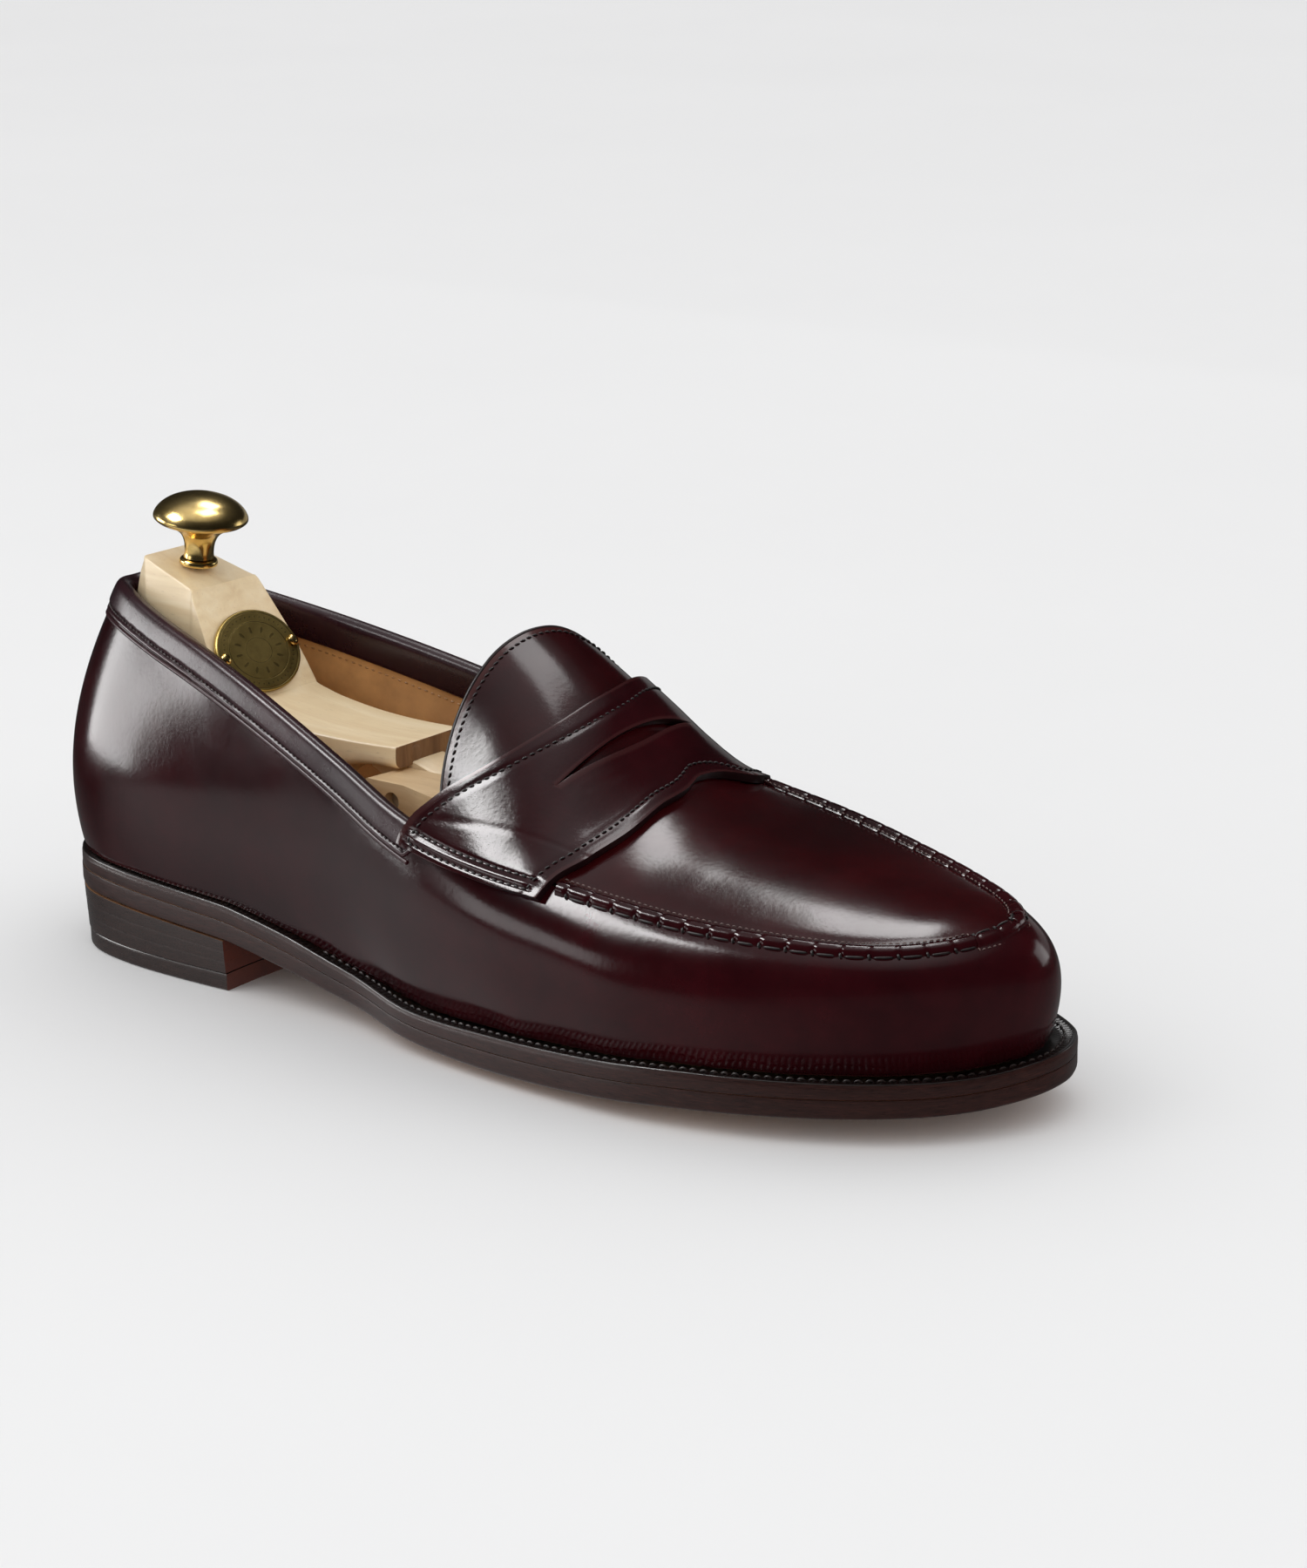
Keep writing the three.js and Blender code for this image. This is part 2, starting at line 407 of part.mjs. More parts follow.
// saddle strap with its slit
{
  const f = (o) => (u, b) => {
    const bb = lerp(-0.1, 1.1, b), i = lerp(strapBack(bb), strapFront(bb), u);
    return skinAcross(i, bb).addScaledVector(skinNormal(i, bb), o);
  };
  const strap = gridSolid(6, 18, f(2.5), f(0.95));
  const ring = (h) => {
    const pts = [];
    for (let k = 0; k <= 8; k++) pts.push([k / 8, 1]);
    for (let k = 7; k >= 1; k--) pts.push([k / 8, -1]);
    return pts.map(([t, s]) => {
      const w = lerp(0.2, 0.8, t), i = 11.62 + 0.16 * (t - 0.5) + s * 0.085 * Math.sin(Math.PI * t) ** 1.3 - 0.05 * Math.sin(Math.PI * t);
      return apron(i, w).addScaledVector(apronNormal(i, w), h);
    });
  };
  const slit = toManifold(strap).subtract(toManifold(ringSolid([ring(-0.4), ring(3.6)])));
  const bodies = slit.decompose().sort((p, q) => q.volume() - p.volume());
  add('saddle_strap', fromManifold(bodies[0]), M.burgundy);
}

// ---------------------------------------------------------------- shoe tree, forepart
{
  // section through the toe room at a station: floor, side walls kept clear of the lining
  const secs = [];
  const i0 = 7.7, i1 = 18.6, n = 17;
  const topRear = table([[7, 59.8], [9.6, 59.8], [10.2, 60.5], [12, 62]]);
  for (let k = 0; k <= n; k++) {
    const i = lerp(i0, i1, k / n), ring = [];
    const side = (r, s) => {
      const q = [];
      for (const v of [0.16, 0.4, 0.66, 0.86]) {
        const p = wallAt(r, v, -(LINING_OUT + TREE_CLEAR));
        q.push(p);
      }
      return q;
    };
    const L = side(i, -1), R = side(NR - i, 1);
    const cap = topRear(i), ramp = smooth(8.3, 11.8, i), hw = lerp(19.5, 60, ramp);
    const top = [];
    for (const w of [0.12, 0.3, 0.5, 0.7, 0.88]) top.push(apronAt(i, w, -(2.3 + TREE_CLEAR + 0.4)));
    const clampY = (p) => { p.y = Math.max(-hw, Math.min(hw, p.y)); return p; };
    const zf = (p) => { p.z = Math.max(p.z, zW(p.x, p.y) + 4.3 + lerp(6, 0.3, smooth(8.3, 11, i))); return p; };
    const zc = (p) => { p.z = Math.min(p.z, cap); return p; };
    L.concat(R, top).forEach((p) => { clampY(p); zc(p); });
    // order: lateral foot, up the side, across the top, down the medial side, floor
    const floorL = L[0].clone(), floorR = R[0].clone();
    ring.push(floorL, L[1], L[2], L[3], ...top, R[3], R[2], R[1], floorR);
    const fm = floorL.clone().lerp(floorR, 0.66), fl = floorL.clone().lerp(floorR, 0.33);
    ring.push(fm, fl);
    ring.forEach(zf);
    // keep every section in one plane of stations: the middle x of the station
    secs.push(ring);
  }
  let fore = ringSolid(secs);
  const slot = placed(new THREE.BoxGeometry(40, 12.8, 60), 110, 0, 55);
  const bore = placed(new THREE.CylinderGeometry(BORE, BORE, 80, 20), PIN.x, 0, PIN.z);
  fore = cut(fore, slot, bore);
  add('tree_forepart', fore, M.wood);
  add('tree_hinge_pin', placed(new THREE.CylinderGeometry(PIN.r, PIN.r, 2 * PIN.half, 20), PIN.x, 0, PIN.z), M.steel);
}

// ---------------------------------------------------------------- shoe tree, heel block with neck
const blockTop = table([[14, 104], [22.5, 104.2], [45.4, 97.3], [45.6, 97.1], [50.5, 88.8], [55.2, 80.8], [60.4, 72.0], [64, 70.4], [70.5, 68.9], [84, 66.8], [105, 66.2], [113, 66.4]]);
{
  // [x, top z, bottom z, top half width, bottom half width]
  const S = [
    [14.8, 74, 56, 3.2, 3.2], [16.4, 82, 46, 4.0, 4.4], [18.2, 89, 40, 4.6, 6.0], [19.9, 94.6, 37, 5.6, 7.0], [22.7, 99.6, 34.8, 7.5, 8.6], [25.6, 103.6, 34, 8.9, 9.8], [30, 102.2, 33.4, 10.0, 10.8],
    [38, 99.7, 33.2, 10.9, 12.6], [45.5, 97.3, 33.4, 11.6, 14.4], [50.5, 88.8, 34.0, 14.6, 16.0], [55.2, 80.8, 35.2, 16.4, 17.2],
    [61.6, 69.95, 37.6, 16.8, 17.2], [64.6, 69.0, 39.8, 16.2, 16.4], [70.5, 68.2, 44, 15.0, 15.2], [84, 66.7, 53.5, 13.8, 13.6], [96, 66.2, 59.4, 13, 12.8],
    [105, 66.2, 60.6, 12.6, 12.4], [113.5, 66.5, 60.6, 12.2, 12.2],
  ];
  const rings = S.map(([x, zt, zb, a, b]) => {
    const zm = lerp(zb, zt, 0.45);
    return [V(x, -a, zt), V(x, a, zt), V(x, lerp(b, a, 0.3) + 0.2, zm), V(x, b, zb + 1.2), V(x, b - 1.2, zb), V(x, -b + 1.2, zb), V(x, -b, zb + 1.2), V(x, -lerp(b, a, 0.3) - 0.2, zm)];
  });
  let block = ringSolid(rings);
  // hinge lug under the neck end
  const lugPts = [];
  const sh = new THREE.Shape();
  sh.moveTo(99, 62); sh.lineTo(112, 62); sh.lineTo(PIN.x + 5.2, PIN.z + 3.5);
  for (let k = 0; k <= 10; k++) { const a = lerp(0.6, -2.6, k / 10); sh.lineTo(PIN.x + 6.2 * Math.cos(a), PIN.z + 6.2 * Math.sin(a)); }
  sh.lineTo(99, 58.5); sh.closePath();
  const lug = placed(new THREE.ExtrudeGeometry(sh, { depth: 12, bevelEnabled: false }), 0, 6, 0, Math.PI / 2);
  block = join(block, lug);
  block = cut(block, placed(new THREE.CylinderGeometry(BORE, BORE, 80, 20), PIN.x, 0, PIN.z));
  // screw hole under the knob
  block = cut(block, placed(new THREE.CylinderGeometry(2.3, 2.3, 14, 14), 36.6 - 0.125 * 7, 0, 100 - 7 + 1.0, Math.PI / 2, 0, 0).clone());
  add('tree_heel_block', block, M.wood);
}

// knob, ferrule and screw on a slightly forward axis
const KN = { x: 36.6, z: 100.3, tilt: 0.125 };
function lathe(profile, seg = 28) {
  const g = new THREE.LatheGeometry(profile.map(([r, h]) => new THREE.Vector2(r, h)), seg);
  // turn the lathe axis to +z with a slight forward lean
  const q = new THREE.Quaternion().setFromUnitVectors(V(0, 1, 0), V(KN.tilt, 0, 1).normalize());
  return g.applyMatrix4(new THREE.Matrix4().compose(V(KN.x, 0, KN.z), q, V(1, 1, 1)));
}
add('tree_knob_ferrule', lathe([[3.0, 0.95], [5.3, 0.95], [5.3, 2.2], [4.9, 2.6], [3.0, 2.6], [3.0, 0.95]], 20), M.brass);
add('tree_knob', lathe([[0, 2.9], [4.3, 2.9], [4.1, 4.5], [4.4, 7], [5.3, 9.2], [7.2, 10.8], [11.2, 12.4], [12.3, 13.6], [12.1, 14.7], [10.4, 16.8], [7.4, 18.6], [3.8, 19.6], [0, 19.9]], 20), M.brass);
add('tree_knob_screw', placed(new THREE.CylinderGeometry(2.0, 2.0, 8.6, 14), 36.6 - 0.125 * 7 + 0.0, 0, 98.6 - 1.3, Math.PI / 2), M.steel);

// medallion plate and its two nails on the sloping front of the block
{
  const t = V(14.9, 0, -25.3).normalize(), n = V(25.3, 0, 14.9).normalize(), c = V(55.57, 0, 80.18).addScaledVector(n, 0.5), rings = [];
  const basis = new THREE.Matrix4().makeBasis(V(0, 1, 0), t, n);
  for (const h of [0, 0.8, 1.1]) {
    const ring = [], k = h > 1 ? 0.96 : 1;
    for (let j = 0; j < 28; j++) { const a = j * Math.PI / 14; ring.push(V(14.6 * k * Math.cos(a), 11.2 * k * Math.sin(a), h).applyMatrix4(basis).add(c)); }
    rings.push(ring);
  }
  const hole = (s) => placed(new THREE.CylinderGeometry(1.0, 1.0, 8, 12), c.x, s * 12.6, c.z, 0, 0, 0).applyMatrix4(new THREE.Matrix4());
  const turned = (g, s, lift) => g.clone().applyMatrix4(new THREE.Matrix4().compose(V(0, s * 12.6, 0).add(c).addScaledVector(n, lift), new THREE.Quaternion().setFromUnitVectors(V(0, 1, 0), n), V(1, 1, 1)));
  add('tree_medallion', cut(ringSolid(rings), turned(new THREE.CylinderGeometry(1.0, 1.0, 8, 12), -1, 0), turned(new THREE.CylinderGeometry(1.0, 1.0, 8, 12), 1, 0)), M.brass);
  const nail = new THREE.LatheGeometry([[0, 0.1], [0.7, 0.1], [0.7, 1.4], [1.5, 1.4], [1.3, 1.9], [0.8, 2.2], [0, 2.3]].map(([r, h]) => new THREE.Vector2(r, h)), 12);
  add('tree_medallion_nail_1', turned(nail, -1, 0), M.brass);
  add('tree_medallion_nail_2', turned(nail, 1, 0), M.brass);
}

// ---------------------------------------------------------------- shared frame: centre of the outline on the origin
const box = new THREE.Box3();
group.children.forEach((m) => { m.geometry.computeBoundingBox(); box.union(m.geometry.boundingBox); });
const sx = -(box.min.x + box.max.x) / 2, sy = -(box.min.y + box.max.y) / 2, sz = -box.min.z;
group.position.set(sx, sy, sz);

export default group;
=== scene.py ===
"""Looks of the penny loafer and its shoe tree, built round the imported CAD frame."""
import bpy, bmesh, math
import numpy as np
from mathutils import Vector, Matrix


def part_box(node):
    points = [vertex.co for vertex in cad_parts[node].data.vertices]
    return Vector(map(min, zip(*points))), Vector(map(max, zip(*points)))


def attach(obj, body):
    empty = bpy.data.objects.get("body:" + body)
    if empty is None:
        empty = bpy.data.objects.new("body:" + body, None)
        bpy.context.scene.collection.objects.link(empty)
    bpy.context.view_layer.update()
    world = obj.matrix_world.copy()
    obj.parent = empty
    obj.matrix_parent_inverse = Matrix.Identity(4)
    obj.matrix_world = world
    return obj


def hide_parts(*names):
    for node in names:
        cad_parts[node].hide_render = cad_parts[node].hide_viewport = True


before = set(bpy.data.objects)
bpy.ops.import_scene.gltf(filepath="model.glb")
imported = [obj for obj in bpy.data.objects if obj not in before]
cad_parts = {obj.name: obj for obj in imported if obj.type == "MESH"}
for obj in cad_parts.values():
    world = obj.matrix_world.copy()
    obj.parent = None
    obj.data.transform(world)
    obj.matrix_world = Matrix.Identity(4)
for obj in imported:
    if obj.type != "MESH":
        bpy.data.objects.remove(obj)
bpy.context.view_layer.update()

# ------------------------------------------------------------------ shape tables, mm, heel back at x = 0
ROWS = np.array([
  [0.5, 0, 1.2, 13, 0, 94.8, 17, 0.40, 30, 0.30],
  [3.5, -11.5, 1.3, 15, -6.2, 95.3, 17, 0.40, 29, 0.30],
  [10, -21.5, 1.4, 20, -11, 95.2, 16, 0.40, 27, 0.30],
  [20, -28.5, 1.5, 28.5, -15, 93.4, 14, 0.40, 24, 0.32],
  [36, -32.3, 1.6, 41, -19, 90.3, 12, 0.40, 21, 0.33],
  [55, -33.6, 1.8, 58, -23.3, 86.3, 13, 0.40, 18, 0.34],
  [76, -33.6, 2.2, 77, -27.5, 80.8, 16, 0.40, 15, 0.35],
  [97, -33.8, 2.8, 96, -31.2, 74.3, 20, 0.40, 12, 0.35],
  [118, -35.6, 3.4, 115, -34.6, 67.2, 23, 0.40, 12, 0.35],
  [137.5, -41.7, 5.0, 134, -38.2, 60.0, 24, 0.40, 18, 0.35],
  [155.6, -44.9, 5.4, 151, -40.6, 55.6, 24, 0.40, 28, 0.36],
  [173.8, -47.1, 5.1, 168, -41.5, 52.8, 23, 0.40, 36, 0.37],
  [192.1, -48.2, 5.5, 185, -40.8, 50.8, 22, 0.41, 43, 0.38],
  [210, -48.4, 5.6, 203, -39.4, 48.6, 22, 0.42, 48, 0.39],
  [226.6, -46, 5.7, 220, -37.6, 46.9, 21, 0.42, 52, 0.40],
  [242.2, -42.1, 5.8, 236, -35, 46.0, 20, 0.42, 55, 0.40],
  [256.2, -36.6, 5.9, 250, -31.8, 45.5, 19, 0.43, 57, 0.40],
  [268.8, -29.7, 6.0, 262.5, -27.3, 45.3, 18, 0.44, 58, 0.40],
  [279.5, -21.1, 6.1, 272.2, -21.3, 45.5, 17, 0.45, 60, 0.40],
  [287.8, -11, 6.2, 279.3, -13.2, 45.9, 17, 0.45, 61, 0.40],
  [293.8, 0.8, 6.3, 283.2, -4, 46.4, 17, 0.45, 62, 0.40],
  [294.9, 10.7, 6.3, 284.2, 4.5, 46.8, 17, 0.45, 62, 0.40],
  [292.5, 19.3, 6.3, 281.2, 12, 47.4, 17, 0.45, 61, 0.40],
  [287.5, 27.3, 6.2, 274.5, 17.8, 48.0, 17, 0.45, 60, 0.40],
  [277.7, 34.8, 6.1, 265.5, 22.2, 49.0, 18, 0.44, 58, 0.40],
  [265, 40.4, 6.0, 254, 26.2, 50.5, 19, 0.43, 56, 0.40],
  [250.5, 45.4, 6.0, 241, 29.7, 52.2, 20, 0.42, 54, 0.40],
  [234.5, 46.3, 6.0, 227, 33, 54.0, 21, 0.41, 52, 0.40],
  [218, 45.2, 5.8, 212.5, 35.8, 55.6, 22, 0.40, 48, 0.39],
  [201, 42.4, 5.4, 197.5, 37.9, 57.1, 24, 0.40, 43, 0.38],
  [184, 38.2, 4.6, 182.5, 39.2, 58.8, 28, 0.40, 36, 0.37],
  [167.5, 33.6, 3.8, 167.5, 39.4, 60.8, 33, 0.40, 28, 0.36],
  [151, 29.2, 3.0, 152.5, 38.9, 63.3, 38, 0.40, 19, 0.35],
  [134, 26, 2.6, 137.5, 37.7, 66.8, 41, 0.40, 13, 0.35],
  [117, 24.5, 2.4, 121, 36, 71.0, 40, 0.40, 9, 0.35],
  [99, 25.2, 2.2, 103.5, 33.8, 75.4, 36, 0.40, 10, 0.35],
  [80, 28, 2.0, 84, 31, 80.0, 28, 0.40, 13, 0.34],
  [59, 30.6, 1.8, 62, 27.2, 84.9, 20, 0.40, 17, 0.33],
  [38, 31, 1.6, 43, 22.4, 89.2, 15, 0.40, 20, 0.32],
  [21, 28, 1.5, 29.5, 17.4, 92.6, 14, 0.40, 24, 0.32],
  [10.5, 21.5, 1.4, 20.5, 12, 94.7, 16, 0.40, 27, 0.30],
  [3.5, 11.5, 1.3, 15, 6.3, 95.2, 17, 0.40, 29, 0.30],
], float)
NR = len(ROWS)
lo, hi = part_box("tree_hinge_pin")
SX = (lo[0] + hi[0]) * 500.0 - 118.0
SY = (lo[1] + hi[1]) * 500.0
SZ = 0.0


def table(tab):
    xs = np.array([t[0] for t in tab], float)
    ys = np.array([t[1] for t in tab], float)
    n = len(xs)
    m = np.empty(n)
    m[0] = (ys[1] - ys[0]) / (xs[1] - xs[0])
    m[-1] = (ys[-1] - ys[-2]) / (xs[-1] - xs[-2])
    m[1:-1] = (ys[2:] - ys[:-2]) / (xs[2:] - xs[:-2])

    def f(x):
        x = np.asarray(x, float)
        xc = np.clip(x, xs[0], xs[-1])
        i = np.clip(np.searchsorted(xs, xc, side="left") - 1, 0, n - 2)
        h = xs[i + 1] - xs[i]
        t = (xc - xs[i]) / h
        t2, t3 = t * t, t * t * t
        return ((2 * t3 - 3 * t2 + 1) * ys[i] + (t3 - 2 * t2 + t) * h * m[i]
                + (-2 * t3 + 3 * t2) * ys[i + 1] + (t3 - t2) * h * m[i + 1])
    return f


soleBottom = table([[0, 17.0], [35, 16.2], [70, 14.0], [80, 12.2], [92, 9.6], [113, 5.2], [139, 1.6], [160, 0.3], [185, 0.3], [205, 1.2], [220, 2.3], [235, 3.3], [250, 4.4], [267, 5.7], [287, 7.5], [300, 10.3]])
soleStack = table([[0, 9.4], [90, 9.2], [115, 8.2], [140, 7.9], [170, 9.2], [225, 9.3], [265, 8.6], [300, 8.2]])
soleOnly = table([[0, 5.2], [90, 5.0], [115, 4.4], [140, 4.3], [170, 5.0], [225, 5.0], [265, 4.7], [300, 4.5]])
camber = table([[70, 0], [113, 2.4], [140, 3.0], [270, 3.0], [300, 2.0]])
crest = table([[120, 114], [135, 107], [142, 103.2], [150, 98.3], [160, 92.3], [171, 84.0], [178, 76.5], [188, 65.6], [200, 60.4], [215, 57.6], [230, 55.6], [250, 53.2], [270, 50.6], [280, 48.4], [285, 47.0]])
crestY = table([[120, 5], [150, 5], [171, 5], [188, 8], [215, 6], [250, 4], [285, 4.3]])
tongueRear = table([[0, 10.2], [0.035, 9.9], [0.1, 9.68], [0.2, 9.57], [0.33, 9.6], [0.45, 9.7], [0.575, 9.82], [0.7, 9.95], [0.8, 10.08], [0.9, 10.3], [0.965, 10.55], [1, 10.85]])
strapBack = table([[-0.12, 9.36], [0, 9.45], [0.05, 9.75], [0.15, 10.42], [0.25, 10.83], [0.37, 11.1], [0.5, 11.2], [0.62, 11.1], [0.8, 10.75], [0.92, 10.2], [1, 9.7], [1.12, 9.6]])
strapFront = table([[-0.12, 11.72], [0, 11.84], [0.1, 12.16], [0.25, 12.38], [0.45, 12.35], [0.62, 12.2], [0.68, 12.24], [0.8, 12.34], [0.92, 12.42], [1, 12.3], [1.12, 12.15]])


def zB(x, y):
    return soleBottom(x) + camber(x) * (y / 50.0) ** 2


def zS(x, y):
    return zB(x, y) + soleOnly(x)


def zW(x, y):
    return zB(x, y) + soleStack(x)


def row(r):
    r = np.mod(np.asarray(r, float), NR)
    i = np.floor(r).astype(int) % NR
    t = (r - np.floor(r))[..., None]
    p0, p1, p2, p3 = ROWS[(i - 1) % NR], ROWS[i], ROWS[(i + 1) % NR], ROWS[(i + 2) % NR]
    return 0.5 * (2 * p1 + (p2 - p0) * t + (2 * p0 - 5 * p1 + 4 * p2 - p3) * t * t + (3 * p1 - p0 - 3 * p2 + p3) * t ** 3)


def plan_n(r):
    d = row(r + 0.05)[..., :2] - row(r - 0.05)[..., :2]
    d = d / np.linalg.norm(d, axis=-1, keepdims=True)
    return np.stack([d[..., 1], -d[..., 0]], -1)


def outline(r, inset):
    return row(r)[..., :2] - plan_n(r) * np.asarray(inset, float)[..., None]


def unit(a):
    return a / np.maximum(np.linalg.norm(a, axis=-1, keepdims=True), 1e-12)


def wall(r, v):
    r, v = np.broadcast_arrays(np.asarray(r, float), np.asarray(v, float))
    q, n = row(r), plan_n(r)
    f2 = q[..., :2] - n * q[..., 2:3]
    F = np.concatenate([f2, (zW(f2[..., 0], f2[..., 1]) + 0.3)[..., None]], -1)
    T = q[..., 3:6]
    L = np.linalg.norm(T - F, axis=-1)
    a1, a2 = np.radians(q[..., 6]), np.radians(q[..., 8])
    k1, k2 = L * q[..., 7], L * q[..., 9]
    n3 = np.concatenate([n, np.zeros(n.shape[:-1] + (1,))], -1)
    up = np.array([0, 0, 1.0])
    H1 = F + n3 * (k1 * np.sin(a1))[..., None] + up * (k1 * np.cos(a1))[..., None]
    H2 = T + n3 * (k2 * np.sin(a2))[..., None] - up * (k2 * np.cos(a2))[..., None]
    v = v[..., None]
    u = 1 - v
    return u ** 3 * F + 3 * u * u * v * H1 + 3 * u * v * v * H2 + v ** 3 * T


def wall_n(r, v):
    r, v = np.broadcast_arrays(np.asarray(r, float), np.asarray(v, float))
    v0, v1 = np.clip(v - 0.02, -0.2, 1), np.clip(v + 0.02, 0, 1.2)
    dv = wall(r, v1) - wall(r, v0)
    dr = wall(r + 0.1, v) - wall(r - 0.1, v)
    return unit(np.cross(dr, dv))


def wall_at(r, v, off):
    off = np.asarray(off, float)
    return wall(r, v) + wall_n(r, v) * off[..., None]


def apron(i, w):
    i, w = np.broadcast_arrays(np.asarray(i, float), np.asarray(w, float))
    l, m = row(i), row(NR - i)
    x = l[..., 3] + (m[..., 3] - l[..., 3]) * w
    y = l[..., 4] + (m[..., 4] - l[..., 4]) * w
    xm = (l[..., 3] + m[..., 3]) / 2
    C = np.maximum(crest(xm), np.maximum(l[..., 5], m[..., 5]) + 0.2)
    wc = np.clip((crestY(xm) - l[..., 4]) / np.maximum(m[..., 4] - l[..., 4], 1e-6), 0.3, 0.7)
    zl = C - (C - l[..., 5]) * ((wc - w) / wc) ** 2
    zm = C - (C - m[..., 5]) * ((w - wc) / (1 - wc)) ** 2
    return np.stack([x, y, np.where(w < wc, zl, zm)], -1)


def apron_n(i, w):
    i, w = np.broadcast_arrays(np.asarray(i, float), np.asarray(w, float))
    dw = apron(i, np.clip(w + 0.01, 0, 1)) - apron(i, np.clip(w - 0.01, 0, 1))
    di = apron(i + 0.05, w) - apron(i - 0.05, w)
    return unit(np.cross(di, dw))


def skin(i, b):
    """Apron between the seams, wall beyond them: b < 0 lateral, b > 1 medial."""
    i, b = np.broadcast_arrays(np.asarray(i, float), np.asarray(b, float))
    a = apron(i, np.clip(b, 0, 1))
    l = wall(i, np.clip(1 + b * 1.05, 0, 1))
    m = wall(NR - i, np.clip(1 - (b - 1) * 1.05, 0, 1))
    return np.where((b < 0)[..., None], l, np.where((b > 1)[..., None], m, a))


def skin_n(i, b):
    db = skin(i, b + 0.03) - skin(i, b - 0.03)
    di = skin(i + 0.1, b) - skin(i - 0.1, b)
    return unit(np.cross(di, db))


def smooth(a, b, x):
    t = np.clip((np.asarray(x, float) - a) / (b - a), 0, 1)
    return t * t * (3 - 2 * t)


# ------------------------------------------------------------------ mesh helpers
def to_m(P):
    P = np.asarray(P, float)
    return (P + np.array([SX, SY, SZ])) * 0.001


def new_obj(name, V, faces, mat, body="shoe", uv=None, smooth_angle=45.0, mats=None, face_mats=None):
    me = bpy.data.meshes.new(name)
    me.from_pydata([tuple(p) for p in to_m(V)], [], [tuple(int(k) for k in f) for f in faces])
    me.validate()
    me.update()
    for m in (mats or [mat]):
        me.materials.append(m)
    if face_mats is not None:
        me.polygons.foreach_set("material_index", np.asarray(face_mats, np.int32))
    if uv is not None:
        lay = me.uv_layers.new(name="UVMap")
        idx = np.empty(len(me.loops), np.int32)
        me.loops.foreach_get("vertex_index", idx)
        lay.data.foreach_set("uv", (np.asarray(uv, float)[idx] * 0.001).astype(np.float32).ravel())
    me.polygons.foreach_set("use_smooth", [True] * len(me.polygons))
    if smooth_angle is not None:
        me.set_sharp_from_angle(angle=math.radians(smooth_angle))
    ob = bpy.data.objects.new(name, me)
    bpy.context.scene.collection.objects.link(ob)
    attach(ob, body)
    return ob


def grid_faces(nu, nv, base=0, close_u=False, close_v=False, flip=False):
    F = []
    W = nv if close_v else nv + 1
    NU = nu if close_u else nu + 1
    for i in range(nu):
        i2 = (i + 1) % NU if close_u else i + 1
        for j in range(nv):
            j2 = (j + 1) % W if close_v else j + 1
            q = (base + i * W + j, base + i2 * W + j, base + i2 * W + j2, base + i * W + j2)
            F.append(q[::-1] if flip else q)
    return F


def grid_uv(P):
    """Arc lengths along both grid directions, in mm."""
    du = np.linalg.norm(np.diff(P, axis=0), axis=-1).mean(axis=1)
    dv = np.linalg.norm(np.diff(P, axis=1), axis=-1).mean(axis=0)
    u = np.concatenate([[0], np.cumsum(du)])
    v = np.concatenate([[0], np.cumsum(dv)])
    U, Vv = np.meshgrid(u, v, indexing="ij")
    return np.stack([U, Vv], -1).reshape(-1, 2)


def bevel(ob, width, seg=3, angle=50):
    m = ob.modifiers.new("edge", "BEVEL")
    m.width = width * 0.001
    m.segments = seg
    m.limit_method = "ANGLE"
    m.angle_limit = math.radians(angle)
    m.harden_normals = False
    m.use_clamp_overlap = True
    return m


def sheet_obj(name, P, thick, mat, body="shoe", bev=0.5, seg=3, close_u=False, lift=0.0, angle=45):
    """Leather sheet: closed body of the given thickness under the outer grid P, its rim rounded."""
    nu, nv = P.shape[0] - 1, P.shape[1] - 1
    Pu = np.gradient(P, axis=0) if not close_u else (np.roll(P, -1, 0) - np.roll(P, 1, 0))
    Pv = np.gradient(P, axis=1)
    N = unit(np.cross(Pu, Pv))
    t = np.asarray(thick, float)
    Q = P - N * (t[..., None] if t.ndim else t)
    n = P.shape[0] * P.shape[1]
    V = np.concatenate([P.reshape(-1, 3), Q.reshape(-1, 3)])
    W = nv + 1
    F = grid_faces(nu + (1 if close_u else 0), nv, 0, close_u=close_u)
    F += grid_faces(nu + (1 if close_u else 0), nv, n, close_u=close_u, flip=True)
    nuu = nu + 1 if close_u else nu
    NU = nu + 1
    for i in range(nuu):
        i2 = (i + 1) % NU
        a, d = i * W, i2 * W
        F.append((a, a + n, d + n, d))
        b, c = i * W + nv, i2 * W + nv
        F.append((b, c, c + n, b + n))
    if not close_u:
        for j in range(nv):
            F.append((j, j + 1, j + 1 + n, j + n))
            c = nu * W + j
            F.append((c, c + n, c + 1 + n, c + 1))
    uv = grid_uv(P)
    ob = new_obj(name, V, F, mat, body, uv=np.concatenate([uv, uv]), smooth_angle=angle)
    if bev:
        bevel(ob, bev, seg)
    return ob


def fix_normals(ob):
    bm = bmesh.new()
    bm.from_mesh(ob.data)
    bmesh.ops.recalc_face_normals(bm, faces=bm.faces)
    bm.to_mesh(ob.data)
    bm.free()


def loft(name, rings, mat, body="shoe", cap=True, close_len=False, smooth_angle=40, uv_scale=1.0):
    """Body skinned over closed rings with equal point counts."""
    R = np.asarray(rings, float)
    nr, n = R.shape[:2]
    V = R.reshape(-1, 3)
    F = grid_faces(nr if close_len else nr - 1, n, 0, close_u=close_len, close_v=True)
    if cap and not close_len:
        F.append(tuple(range(n))[::-1])
        F.append(tuple((nr - 1) * n + k for k in range(n)))
    Rc = np.concatenate([R, R[:, :1]], 1)
    du = np.concatenate([[0], np.cumsum(np.linalg.norm(np.diff(R.mean(1), axis=0), axis=-1))])
    dv = np.concatenate([[0], np.cumsum(np.linalg.norm(np.diff(Rc, axis=1), axis=-1).mean(0))])[:n]
    U, Vv = np.meshgrid(du, dv, indexing="ij")
    ob = new_obj(name, V, F, mat, body, uv=np.stack([U, Vv], -1).reshape(-1, 2), smooth_angle=smooth_angle)
    fix_normals(ob)
    return ob


